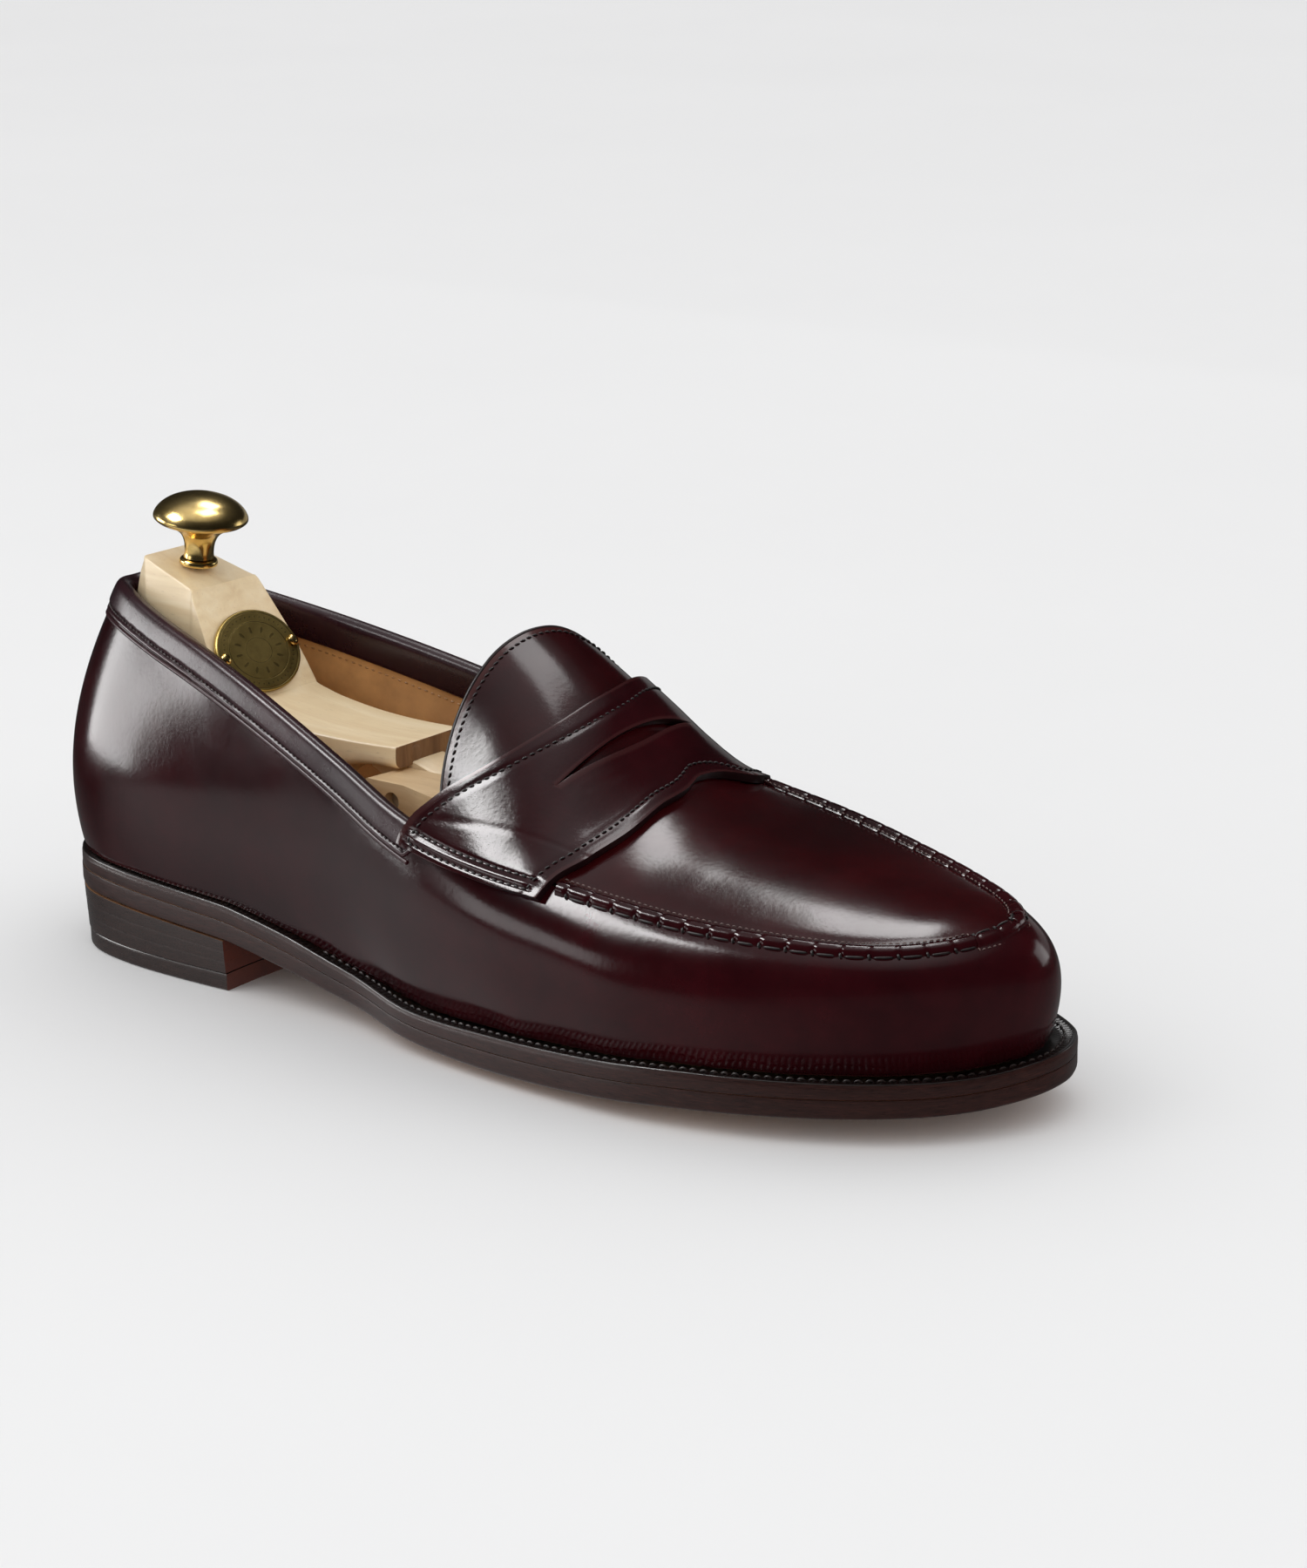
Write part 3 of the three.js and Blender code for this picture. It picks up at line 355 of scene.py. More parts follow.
def resample(C, N, step):
    """Points and normals every step mm along a polyline."""
    d = np.linalg.norm(np.diff(C, axis=0), axis=-1)
    s = np.concatenate([[0], np.cumsum(d)])
    n = max(int(s[-1] / step), 1)
    t = (np.arange(n) + 0.5) * s[-1] / n
    P = np.stack([np.interp(t, s, C[:, k]) for k in range(3)], -1)
    Q = unit(np.stack([np.interp(t, s, N[:, k]) for k in range(3)], -1))
    T = unit(np.stack([np.interp(t + 0.2, s, C[:, k]) - np.interp(t - 0.2, s, C[:, k]) for k in range(3)], -1))
    return P, Q, T


def stitches(name, lines, mat, pitch=1.7, fill=0.78, rad=0.26, height=0.12, body="shoe", slant=0.0, sink=0.25):
    """Sewn thread along lines [(points, normals), ...]: one small arched thread per stitch."""
    V, F = [], []
    ns, nc = 5, 6
    for C, N in lines:
        P, Q, T = resample(np.asarray(C, float), np.asarray(N, float), pitch)
        S = unit(np.cross(T, Q))
        T = unit(T + S * slant)
        S = unit(np.cross(T, Q))
        Q = unit(np.cross(S, T))
        L = pitch * fill / 2
        for k in range(len(P)):
            base = len(V)
            for a in range(ns + 1):
                x = -1 + 2 * a / ns
                c = P[k] + T[k] * L * x + Q[k] * (height * (1 - x * x) - sink * abs(x) ** 3 * rad * 2)
                rr = rad * (0.35 if abs(x) > 0.99 else (0.85 if abs(x) > 0.55 else 1.0))
                for b in range(nc):
                    an = 2 * math.pi * b / nc
                    V.append(c + S[k] * rr * math.cos(an) + Q[k] * rr * math.sin(an))
            for a in range(ns):
                for b in range(nc):
                    F.append((base + a * nc + b, base + a * nc + (b + 1) % nc, base + (a + 1) * nc + (b + 1) % nc, base + (a + 1) * nc + b))
            F.append(tuple(base + b for b in range(nc))[::-1])
            F.append(tuple(base + ns * nc + b for b in range(nc)))
    ob = new_obj(name, np.array(V), F, mat, body, smooth_angle=None)
    return ob


def tube(name, C, N, prof, mat, body="shoe", closed=False, scale=None):
    """Sweep a closed profile [(side, up), ...] along points C with up directions N."""
    C, N = np.asarray(C, float), np.asarray(N, float)
    T = unit(np.gradient(C, axis=0)) if not closed else unit(np.roll(C, -1, 0) - np.roll(C, 1, 0))
    S = unit(np.cross(T, N))
    U = unit(np.cross(S, T))
    rings = []
    for k in range(len(C)):
        s = 1.0 if scale is None else scale[k]
        rings.append([C[k] + S[k] * a * s + U[k] * b * s for a, b in prof])
    return loft(name, rings, mat, body, cap=not closed, close_len=closed, smooth_angle=50)


# ------------------------------------------------------------------ materials
class Mat:
    """Small node-graph writer round one Principled shader."""

    def __init__(self, name, **sockets):
        self.m = bpy.data.materials.new(name)
        self.m.use_nodes = True
        self.t = self.m.node_tree
        self.t.nodes.clear()
        self.out = self.t.nodes.new("ShaderNodeOutputMaterial")
        self.b = self.t.nodes.new("ShaderNodeBsdfPrincipled")
        self.t.links.new(self.b.outputs[0], self.out.inputs[0])
        for k, v in sockets.items():
            self.b.inputs[k.replace("_", " ")].default_value = v
        self.tc = self.t.nodes.new("ShaderNodeTexCoord")

    def node(self, kind, inputs=(), **attrs):
        n = self.t.nodes.new("ShaderNode" + kind)
        for k, v in attrs.items():
            setattr(n, k, v)
        for k, v in dict(inputs).items():
            s = n.inputs[k]
            if isinstance(v, bpy.types.NodeSocket):
                self.t.links.new(v, s)
            else:
                s.default_value = v
        return n

    def obj(self):
        return self.tc.outputs["Object"]

    def uv(self):
        return self.tc.outputs["UV"]

    def scaled(self, vec, s, rot=(0, 0, 0)):
        return self.node("Mapping", {"Vector": vec, "Scale": s, "Rotation": rot}).outputs[0]

    def noise(self, scale, detail=2.0, vec=None, rough=0.5, dist=0.0):
        return self.node("TexNoise", {"Vector": vec or self.obj(), "Scale": scale, "Detail": detail, "Roughness": rough, "Distortion": dist}).outputs[0]

    def voronoi(self, scale, vec=None, feature="F1", rand=1.0):
        return self.node("TexVoronoi", {"Vector": vec or self.obj(), "Scale": scale, "Randomness": rand}, feature=feature).outputs[0]

    def ramp(self, fac, stops):
        n = self.node("ValToRGB", {0: fac})
        e = n.color_ramp.elements
        while len(e) < len(stops):
            e.new(0.5)
        for el, (p, c) in zip(e, stops):
            el.position = p
            el.color = tuple(c) + (1,) if len(c) == 3 else c
        return n.outputs[0]

    def mapr(self, x, a, b, c, d):
        return self.node("MapRange", {0: x, 1: a, 2: b, 3: c, 4: d}).outputs[0]

    def math(self, op, a, b=0.0, c=0.0):
        return self.node("Math", {0: a, 1: b, 2: c}, operation=op).outputs[0]

    def mix(self, fac, a, b, mode="MIX"):
        n = self.node("Mix", {}, data_type="RGBA", blend_type=mode)
        for s, v in ((n.inputs[0], fac), (n.inputs[6], a), (n.inputs[7], b)):
            if isinstance(v, bpy.types.NodeSocket):
                self.t.links.new(v, s)
            else:
                s.default_value = tuple(v) + (1,) if isinstance(v, tuple) and len(v) == 3 else v
        return n.outputs[2]

    def set(self, name, sock):
        self.t.links.new(sock, self.b.inputs[name])

    def bump(self, layers):
        """layers: [(height socket, distance in mm, strength)] stacked."""
        prev = None
        for h, d, s in layers:
            n = self.node("Bump", {"Height": h, "Distance": d * 0.001, "Strength": s})
            if prev is not None:
                self.t.links.new(prev, n.inputs["Normal"])
            prev = n.outputs[0]
        self.set("Normal", prev)

    def edge_wear(self, lo=0.52, hi=0.62):
        g = self.node("NewGeometry")
        return self.mapr(g.outputs["Pointiness"], lo, hi, 0, 1)


def leather(name, dark, mid, lit, r0=0.12, r1=0.18, coat=0.0, coat_rough=0.16, grain=0.035, wave=0.05, pore=900, wear=None, spec=0.5, ior=1.42):
    m = Mat(name, Coat_Weight=coat, Coat_Roughness=coat_rough, Coat_IOR=1.4, IOR=ior, Specular_IOR_Level=spec)
    cloud = m.noise(17, 4, rough=0.55)
    fine = m.noise(160, 5, rough=0.6)
    col = m.ramp(cloud, [(0.30, dark), (0.52, mid), (0.75, lit)])
    col = m.mix(m.mapr(fine, 0.35, 0.7, 0.0, 0.35), col, tuple(c * 0.55 for c in dark))
    if wear is not None:
        col = m.mix(m.math("MULTIPLY", m.edge_wear(0.52, 0.60), 0.6), col, wear)
    m.set("Base Color", col)
    m.set("Roughness", m.mapr(m.noise(60, 5, rough=0.65), 0.3, 0.7, r0, r1))
    cells = m.voronoi(pore, feature="SMOOTH_F1")
    pores = m.mapr(m.noise(pore * 2.3, 2), 0.55, 0.75, 0, 1)
    m.bump([(m.noise(55, 2, rough=0.4), wave * 6, 0.13), (cells, grain * 0.7, 0.35), (pores, grain * 0.6, 0.25)])
    return m.m


def wood(name, light, mid, dark, ring=1.0, rough=0.42, axis="x", ends=None, wear=None):
    m = Mat(name, Coat_Weight=0.12, Coat_Roughness=0.3, IOR=1.46)
    sc = {"x": (6, 40, 60), "z": (60, 40, 6)}[axis]
    v = m.scaled(m.obj(), sc)
    warp = m.noise(4.2 * ring, 3, vec=v, rough=0.55, dist=0.6)
    bands = m.node("TexWave", {"Vector": m.scaled(m.obj(), (0.35, 1, 1.6) if axis == "x" else (1.6, 1, .35)), "Scale": 70 * ring, "Distortion": 5.5, "Detail": 3, "Detail Scale": 0.7, "Detail Roughness": 0.6},
                   wave_type="BANDS", bands_direction="Z" if axis == "x" else "X").outputs[1]
    fibre = m.noise(22 * ring, 6, vec=v, rough=0.7)
    col = m.ramp(warp, [(0.25, dark), (0.5, mid), (0.72, light)])
    col = m.mix(m.mapr(bands, 0.2, 1, 0.0, 0.22), col, dark)
    col = m.mix(m.mapr(fibre, 0.45, 0.8, 0, 0.3), col, tuple(c * 0.82 for c in mid))
    flecks = m.mapr(m.noise(90, 2, vec=m.scaled(m.obj(), (3, 22, 22) if axis == "x" else (22, 22, 3))), 0.66, 0.72, 0, 0.28)
    col = m.mix(flecks, col, tuple(c * 0.6 for c in dark))
    if wear is not None:
        col = m.mix(m.math("MULTIPLY", m.edge_wear(0.50, 0.58), 0.5), col, wear)
    m.set("Base Color", col)
    m.set("Roughness", m.mapr(fibre, 0.3, 0.8, rough - 0.06, rough + 0.12))
    m.bump([(fibre, 0.05, 0.5), (m.noise(1500, 2, vec=m.scaled(m.obj(), (0.15, 1, 1) if axis == "x" else (1, 1, 0.15))), 0.02, 0.5)])
    return m.m


def metal(name, c0, c1, r0=0.08, r1=0.2, scratch=0.5, patina=None, bump=0.01):
    m = Mat(name, Metallic=1.0, IOR=1.5)
    cloud = m.noise(120, 4, rough=0.6)
    col = m.ramp(cloud, [(0.3, c0), (0.7, c1)])
    if patina is not None:
        col = m.mix(m.mapr(m.noise(420, 6, rough=0.7), 0.45, 0.72, 0, 0.55), col, patina)
    m.set("Base Color", col)
    fine = m.noise(900, 3, vec=m.scaled(m.obj(), (1, 9, 1)))
    m.set("Roughness", m.mapr(m.math("ADD", m.math("MULTIPLY", fine, scratch), m.math("MULTIPLY", cloud, 1 - scratch)), 0.3, 0.75, r0, r1))
    m.bump([(fine, bump, 0.4)])
    return m.m


def edge_leather(name, dark, mid, red, rough=0.34, layers=5.5, coat=0.25, fibre=0.5):
    """Cut, stained and burnished edge of stacked sole leather; UV runs along the edge and up."""
    m = Mat(name, Coat_Weight=coat, Coat_Roughness=0.22, IOR=1.5)
    v = m.scaled(m.uv(), (60, 900, 1))
    streak = m.noise(4, 6, vec=v, rough=0.7)
    v2 = m.scaled(m.uv(), (25, 160, 1))
    cloud = m.noise(3, 4, vec=v2, rough=0.6)
    col = m.ramp(streak, [(0.3, dark), (0.55, mid), (0.8, red)])
    col = m.mix(m.mapr(cloud, 0.4, 0.7, 0, 0.55), col, dark)
    m.set("Base Color", col)
    m.set("Roughness", m.mapr(streak, 0.3, 0.75, rough - 0.06, rough + 0.14))
    m.bump([(streak, 0.06, fibre), (m.noise(700, 3), 0.03, 0.4)])
    return m.m


BURG = dict(dark=(0.0125, 0.0012, 0.0022), mid=(0.023, 0.0016, 0.0030), lit=(0.037, 0.0024, 0.0042))
M_UPPER = leather("burgundy_calf", **BURG, wear=(0.05, 0.012, 0.012))
M_APRON = leather("burgundy_calf_apron", dark=(0.016, 0.0010, 0.0018), mid=(0.029, 0.0014, 0.0024), lit=(0.044, 0.0022, 0.0034), wear=(0.06, 0.015, 0.013))
M_STRAP = leather("burgundy_calf_strap", **BURG, grain=0.045, wear=(0.045, 0.012, 0.012))
M_BIND = leather("plum_binding_calf", dark=(0.018, 0.0045, 0.0075), mid=(0.030, 0.0075, 0.0115), lit=(0.044, 0.012, 0.016), r0=0.22, r1=0.32, coat=0.0, coat_rough=0.3, grain=0.055, pore=1100, ior=1.42, wear=(0.075, 0.03, 0.032))
M_EDGE = leather("dyed_cut_edge", dark=(0.010, 0.0022, 0.003), mid=(0.018, 0.0045, 0.005), lit=(0.034, 0.011, 0.010), r0=0.34, r1=0.46, coat=0.0, grain=0.05, pore=1500)
# lining colour raised above the real tan to stand in for the glow of light inside the shoe: partly its own tan,
# partly painted light
M_LINING = leather("tan_lining_calf_painted_glow", dark=(0.55, 0.27, 0.095), mid=(0.80, 0.42, 0.155), lit=(0.88, 0.52, 0.22), r0=0.48, r1=0.62, coat=0.06, coat_rough=0.4, grain=0.05, pore=1300, wear=None)
M_SOCK = leather("sock_leather", dark=(0.33, 0.15, 0.055), mid=(0.46, 0.225, 0.085), lit=(0.56, 0.29, 0.115), r0=0.45, r1=0.6, coat=0.08, coat_rough=0.4, grain=0.05, pore=1200)
M_INSOLE = leather("insole_leather", dark=(0.30, 0.16, 0.075), mid=(0.42, 0.24, 0.12), lit=(0.50, 0.31, 0.17), r0=0.6, r1=0.75, coat=0.0, grain=0.06, pore=1000)
M_WELT = edge_leather("welt_dark", (0.0045, 0.0022, 0.0018), (0.012, 0.0052, 0.004), (0.035, 0.013, 0.0085), rough=0.30, coat=0.35)
M_SOLE_EDGE = edge_leather("outsole_edge", (0.012, 0.0030, 0.0022), (0.034, 0.0075, 0.0048), (0.085, 0.020, 0.011), rough=0.30, coat=0.15)
M_HEEL_EDGE = edge_leather("heel_edge", (0.012, 0.0050, 0.0040), (0.026, 0.0098, 0.0070), (0.058, 0.0205, 0.0135), rough=0.27, coat=0.4, fibre=0.3)
M_BREAST = leather("heel_breast_stain", dark=(0.085, 0.013, 0.0045), mid=(0.16, 0.026, 0.008), lit=(0.22, 0.045, 0.013), r0=0.4, r1=0.55, coat=0.1, grain=0.06, pore=1600)
M_SOLE_FACE = leather("outsole_grain_face", dark=(0.20, 0.085, 0.035), mid=(0.34, 0.16, 0.070), lit=(0.44, 0.235, 0.115), r0=0.42, r1=0.6, coat=0.1, coat_rough=0.3, grain=0.06, pore=1400)
M_TOPPIECE = leather("rubber_top_piece", dark=(0.010, 0.009, 0.009), mid=(0.016, 0.014, 0.013), lit=(0.026, 0.023, 0.021), r0=0.5, r1=0.68, coat=0.0, grain=0.08, pore=1500)
M_WOOD = wood("lime_wood", (0.93, 0.77, 0.52), (0.87, 0.69, 0.43), (0.77, 0.57, 0.33))
# same lime wood as the heel block in a darker copy: painted shade for the forepart inside the shoe
M_WOOD_IN_PAINTED_SHADE = wood("lime_wood_forepart_painted_shade", (0.80, 0.60, 0.36), (0.72, 0.51, 0.28), (0.58, 0.38, 0.19))
# end grain made far darker than the side grain: partly the real darker end grain, partly painted shade on the neck
# end
M_ENDGRAIN_PAINTED_SHADE = wood("lime_end_grain_painted_shade", (0.30, 0.165, 0.07), (0.23, 0.12, 0.05), (0.14, 0.07, 0.028), ring=2.2, rough=0.6, axis="z")
M_BRASS = metal("polished_brass", (0.78, 0.56, 0.205), (0.86, 0.64, 0.27), 0.17, 0.25, patina=(0.62, 0.42, 0.13))
M_PLATE = metal("medallion_brass", (0.46, 0.335, 0.105), (0.60, 0.45, 0.16), 0.36, 0.50, patina=(0.34, 0.24, 0.07), bump=0.02)
M_ENGRAVE = metal("medallion_engraving", (0.18, 0.13, 0.042), (0.26, 0.19, 0.065), 0.45, 0.6, patina=(0.05, 0.036, 0.014), bump=0.02)
M_STEEL = metal("tree_steel", (0.42, 0.42, 0.43), (0.6, 0.6, 0.61), 0.25, 0.4, patina=(0.3, 0.29, 0.28))
M_NAIL = metal("heel_nail_brass", (0.55, 0.38, 0.14), (0.68, 0.49, 0.21), 0.25, 0.42, patina=(0.3, 0.19, 0.07))


def thread_mat(name, dark, lit, twist=1400, rough=0.55):
    m = Mat(name, IOR=1.5, Coat_Weight=0.15, Coat_Roughness=0.3)
    w = m.node("TexWave", {"Vector": m.obj(), "Scale": twist / 6.28, "Distortion": 3.0, "Detail": 2}, wave_type="BANDS", bands_direction="DIAGONAL").outputs[1]
    m.set("Base Color", m.ramp(m.noise(700, 4), [(0.3, dark), (0.7, lit)]))
    m.set("Roughness", m.mapr(m.noise(1200, 3), 0.3, 0.7, rough - 0.1, rough + 0.1))
    m.bump([(w, 0.05, 0.5)])
    return m.m


T_DARK = thread_mat("dark_linen_thread", (0.006, 0.0028, 0.003), (0.020, 0.010, 0.0095))
T_BROWN = thread_mat("brown_waxed_thread", (0.020, 0.009, 0.008), (0.060, 0.030, 0.025))
# lighter thread colour for the fine apron stitches: painted highlight standing in for the sheen on dark thread
T_ROSE_PAINTED_HIGHLIGHT = thread_mat("rose_brown_thread_painted_highlight", (0.085, 0.045, 0.040), (0.20, 0.125, 0.11))
T_TAN = thread_mat("tan_thread", (0.34, 0.15, 0.04), (0.52, 0.27, 0.09))
T_WELT = thread_mat("welt_thread", (0.012, 0.006, 0.005), (0.035, 0.017, 0.012))

MADE = []


def swap(obs, nodes):
    """The pieces stand for these CAD nodes, which are hidden."""
    obs = obs if isinstance(obs, (list, tuple)) else [obs]
    for o in obs:
        MADE.append(o)
    if nodes:
        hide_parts(*nodes)


# ------------------------------------------------------------------ upper: one lasted wall
WELT_DEPTH, UPPER_T, LIN_IN, LIN_OUT = 10.0, 1.2, 2.7, 3.5
rs = np.unique(np.round(np.concatenate([np.arange(0, NR, 0.125), np.mod([-0.12, -0.08, -0.05, -0.03, -0.012, 0.012, 0.03, 0.05, 0.08, 0.12], NR)]), 4))
vs = np.concatenate([[0.0, 0.006, 0.014, 0.025], np.linspace(0.04, 0.96, 47), [0.975, 0.988, 1.0]])
R, V_ = np.meshgrid(rs, vs, indexing="ij")
back = np.minimum(np.mod(R, NR), NR - np.mod(R, NR))          # distance from the back seam
off = -0.28 * np.exp(-(back / 0.030) ** 2) * smooth(0.0, 0.05, V_)
off = off - 0.22 * np.exp(-((V_) / 0.012) ** 2)                  # rolls into the welt crease
# shallow draw folds below the binding and above the welt, as lasted leather has
rr = np.mod(R + 21, NR) - 21
off = off + 0.10 * np.sin(rr * 2.7 + 1.3 * np.sin(rr * 1.1)) * np.exp(-((V_ - 0.86) / 0.09) ** 2) * smooth(9.4, 7, np.abs(rr)) * smooth(1.5, 4, np.abs(rr))
off = off + 0.16 * np.sin(rr * 4.1 + 0.9 * np.sin(rr * 1.7)) * np.exp(-((V_ - 0.03) / 0.05) ** 2)
P = wall_at(R, V_, off)
upper = sheet_obj("upper_wall", P, UPPER_T, M_UPPER, bev=0.35, close_u=True)
swap(upper, ["quarter_lateral", "quarter_medial", "vamp"])

# ------------------------------------------------------------------ lining of the walls, with its own soft folds
r2 = np.arange(0, NR, 0.25)
vtop = 0.985 - 0.105 * smooth(11.2, 12.4, np.minimum(r2, NR - r2))
tt = np.linspace(0.01, 1, 34)
R, T_ = np.meshgrid(r2, tt, indexing="ij")
VV = T_ * vtop[:, None]
d_in = LIN_IN + (1.5 - LIN_IN) * smooth(0.64, 0.86, VV)
d_out = LIN_OUT + (2.2 - LIN_OUT) * smooth(0.64, 0.86, VV)
w_fold = 0.22 * np.sin(R * 3.1 + 2 * VV * 9 + np.sin(R * 1.3)) * smooth(0.1, 0.3, VV) * smooth(0.75, 0.55, VV)
Pout = wall_at(R, VV, -(d_in + 0.02))
Nin = wall_n(R, VV)
lin = sheet_obj("lining_walls", Pout - Nin * 0.0, (d_out - d_in) + 0.12 + np.abs(w_fold), M_LINING, bev=0.2, close_u=True)
swap(lin, ["lining_lateral", "lining_medial", "lining_vamp"])


def wall_line(r0, r1, depth, off, n=420, sign=1):
    """Line on the wall a given depth in mm below the top edge, lifted off the skin."""
    r = np.linspace(r0, r1, n)
    ln = np.linalg.norm(wall(r, 1) - wall(r, 0.9), axis=-1)
    v = 1 - 0.1 * depth / ln
    N = wall_n(r, v)
    return wall(r, v) + N * off, N * sign


SEAMS = [(wall_line(-10.9, 10.9, 11.6, -2.36, sign=-1))]
st = stitches("lining_top_stitches", SEAMS, T_TAN, pitch=2.1, rad=0.27, height=0.2, sink=0.3)
swap(st, [])

# ------------------------------------------------------------------ topline binding, folded over the edge
BR = np.linspace(-9.75, 9.75, 300)
ln = np.linalg.norm(wall(BR, 1) - wall(BR, 0.9), axis=-1)
Dn = unit(wall(BR, 1) - wall(BR, 0.9))
N1 = wall_n(BR, np.ones_like(BR))
SEC = [(8.25, 0.10), (8.15, 0.42), (7.85, 0.62), (7.35, 0.66), (7.05, 0.50), (6.85, 0.30), (6.6, 0.26), (6.35, 0.36), (6.1, 0.70), (5.7, 0.93), (5.0, 1.02), (3.6, 1.10), (2.0, 1.14), (0.9, 1.10), (0.1, 0.92),
       (-0.45, 0.55), (-0.78, 0.02), (-0.90, -0.6), (-0.92, -1.3), (-0.85, -2.0), (-0.55, -2.65), (0.0, -3.15), (0.9, -3.42), (2.5, -3.5), (5, -3.52), (7.6, -3.5), (8.7, -3.42), (9.1, -3.2), (9.15, -2.95), (8.9, -2.75),
       (6, -2.72), (3, -2.7), (1.2, -2.66), (0.45, -2.3), (0.2, -1.4), (0.3, -0.4), (0.7, 0.06), (2.5, 0.10), (5.5, 0.10)]
rings = []
pk = 0.06 * np.sin(np.cumsum(np.full(len(BR), 1.15)))
for k in range(len(BR)):
    ring = []
    tap = 1 - 0.34 * float(smooth(9.40, 9.58, abs(BR[k])))
    for d, o in SEC:
        dd = d * tap if d > 0 and o > -2.0 else d
        oo = o + (pk[k] if 5.9 < d < 7.3 and o > 0.2 else 0.0)
        if dd > 0:
            vv = 1 - 0.1 * dd / ln[k]
            ring.append(wall(BR[k], vv) + wall_n(BR[k], vv) * oo)
        else:
            ring.append(wall(BR[k], 1.0) + Dn[k] * (-dd) + N1[k] * oo)
    rings.append(ring)
bind = loft("topline_binding_fold", rings, M_BIND, smooth_angle=60)
swap(bind, ["topline_binding"])
s1 = wall_line(-9.40, 9.40, 6.62, 0.34)
st = stitches("binding_stitches", [s1], T_BROWN, pitch=1.55, rad=0.20, height=0.16, slant=0.18)
swap(st, [])
# second narrow fold of leather under the binding
EC = wall_line(-9.50, 9.50, 8.95, 0.10, n=300)
lip = tube("binding_lower_lip", EC[0], EC[1], [(-0.62, -0.25), (-0.5, 0.18), (-0.2, 0.40), (0.2, 0.40), (0.5, 0.18), (0.62, -0.25), (0, -0.45)], M_BIND)
swap(lip, [])

# ------------------------------------------------------------------ apron with tongue
NU, NWW = 150, 60
W_ = np.linspace(0, 1, NWW + 1)
U_ = np.linspace(0, 1, NU + 1)
UU, WW = np.meshgrid(U_, W_, indexing="ij")
II = tongueRear(WW) + (20.75 - tongueRear(WW)) * UU
width = row(NR - II)[..., 4] - row(II)[..., 4]
kk = np.minimum(0.9 / np.maximum(width, 1e-3), 0.3)
WX = kk + (1 - 2 * kk) * WW
Na = apron_n(II, WX)
roll = 0.55 * np.exp(-(UU * NU / 5.0) ** 1.5) * 0        # edge stays thin
sink = -0.35 * np.exp(-((WW - 0) * width / 2.2) ** 2) - 0.35 * np.exp(-((1 - WW) * width / 2.2) ** 2)
sink = sink * smooth(12.0, 12.8, II)
Pa = apron(II, WX) + Na * (sink + roll)[..., None]
apr = sheet_obj("apron_and_tongue", Pa, 1.5, M_APRON, bev=0.55, seg=4)
swap(apr, ["apron"])
sel = (UU[:, 0] > 0)
# lining under the apron and tongue
II2 = tongueRear(WW) + 0.05 + (20.3 - tongueRear(WW) - 0.05) * UU
kk2 = np.minimum(2.0 / np.maximum(width, 1e-3), 0.35)
WX2 = kk2 + (1 - 2 * kk2) * WW
Pl = apron(II2, WX2) + apron_n(II2, WX2) * (-1.62)
apl = sheet_obj("tongue_lining", Pl[::2, ::2], 0.8, M_LINING, bev=0.25)
swap(apl, ["apron_lining"])


def tongue_edge(inset, off, w0=0.02, w1=0.98, n=300):
    """Line on the tongue parallel to its rear edge."""
    w = np.linspace(w0, w1, n)
    i = tongueRear(w)
    wi = np.clip(w, 0.012, 0.988)
    P = apron(i, wi)
    T = unit(np.gradient(P, axis=0))
    N = apron_n(i, wi)
    S = unit(np.cross(N, T))
    toward = unit(apron(i + 0.3, wi) - P)
    S = S * np.sign(np.sum(S * toward, -1))[:, None]
    k = np.ones((7,)) / 7
    for c in range(3):
        S[3:-3, c] = np.convolve(S[:, c], k, "valid")
    Q = P + unit(S) * inset
    return Q + N * off, N


te = tongue_edge(2.3, 0.10)
st = stitches("tongue_edge_stitches", [te], T_DARK, pitch=1.9, rad=0.27, height=0.10, slant=0.35)
swap(st, [])
te2 = tongue_edge(0.30, -0.55, n=260)
rim = tube("tongue_turned_edge", te2[0], te2[1], [(0.62 * math.cos(a), 0.72 * math.sin(a)) for a in np.linspace(0, 2 * math.pi, 12, endpoint=False)], M_EDGE)
swap(rim, [])

# ------------------------------------------------------------------ raised hand-sewn ridge round the apron
RN = 1500
RR = np.linspace(12.15, NR - 12.15, RN)
C0 = wall(RR, np.ones_like(RR))
NW1 = wall_n(RR, np.full_like(RR, 0.99))
TT = unit(np.gradient(C0, axis=0))
sc = np.concatenate([[0], np.cumsum(np.linalg.norm(np.diff(C0, axis=0), axis=-1))])
NA = np.where((RR < 21)[:, None], apron_n(np.clip(RR, 0, 20.8), np.full_like(RR, 0.04)), apron_n(np.clip(NR - RR, 0, 20.8), np.full_like(RR, 0.96)))
UP = unit(NW1 * 0.75 + NA)
for _ in range(60):
    UP[1:-1] = (UP[:-2] + UP[1:-1] * 2 + UP[2:]) / 4
UP = unit(UP)
PITCH = 6.4
ph = (sc / PITCH) % 1.0
notch = np.exp(-((ph - 0.5) / 0.10) ** 2)
SIDE = unit(np.cross(TT, UP))          # one side is the wall, the other the apron
out_sign = np.sign(np.sum(SIDE * NW1, -1))
rings = []
prof = [(-2.35, -0.75), (-2.2, -0.12), (-1.85, 0.42), (-1.3, 0.95), (-0.6, 1.28), (0.15, 1.32), (0.8, 1.10), (1.35, 0.66), (1.75, 0.14), (2.0, -0.45), (2.05, -1.0), (0.6, -1.35), (-1.2, -1.3)]
for k in range(RN):
    ring = []
    for a, b in prof:
        g = notch[k]
        a2 = a * (1 - 0.06 * g)
        b2 = b
        if a > 0.5 and b > -0.9:
            b2 = b - 0.34 * g * min(1.0, (a - 0.5) / 1.0)
            a2 = a - 0.22 * g
        else:
            b2 = b - 0.10 * g if b > 0 else b
        ring.append(C0[k] + SIDE[k] * (out_sign[k] * a2) + UP[k] * b2)
    rings.append(ring)
bead = loft("apron_ridge", rings, M_UPPER, smooth_angle=70)
swap(bead, ["apron_seam_cord"])


def ridge_line(a, b, k0=0, k1=RN):
    P = C0 + SIDE * (out_sign * a)[:, None] + UP * b
    return P[k0:k1], UP[k0:k1]
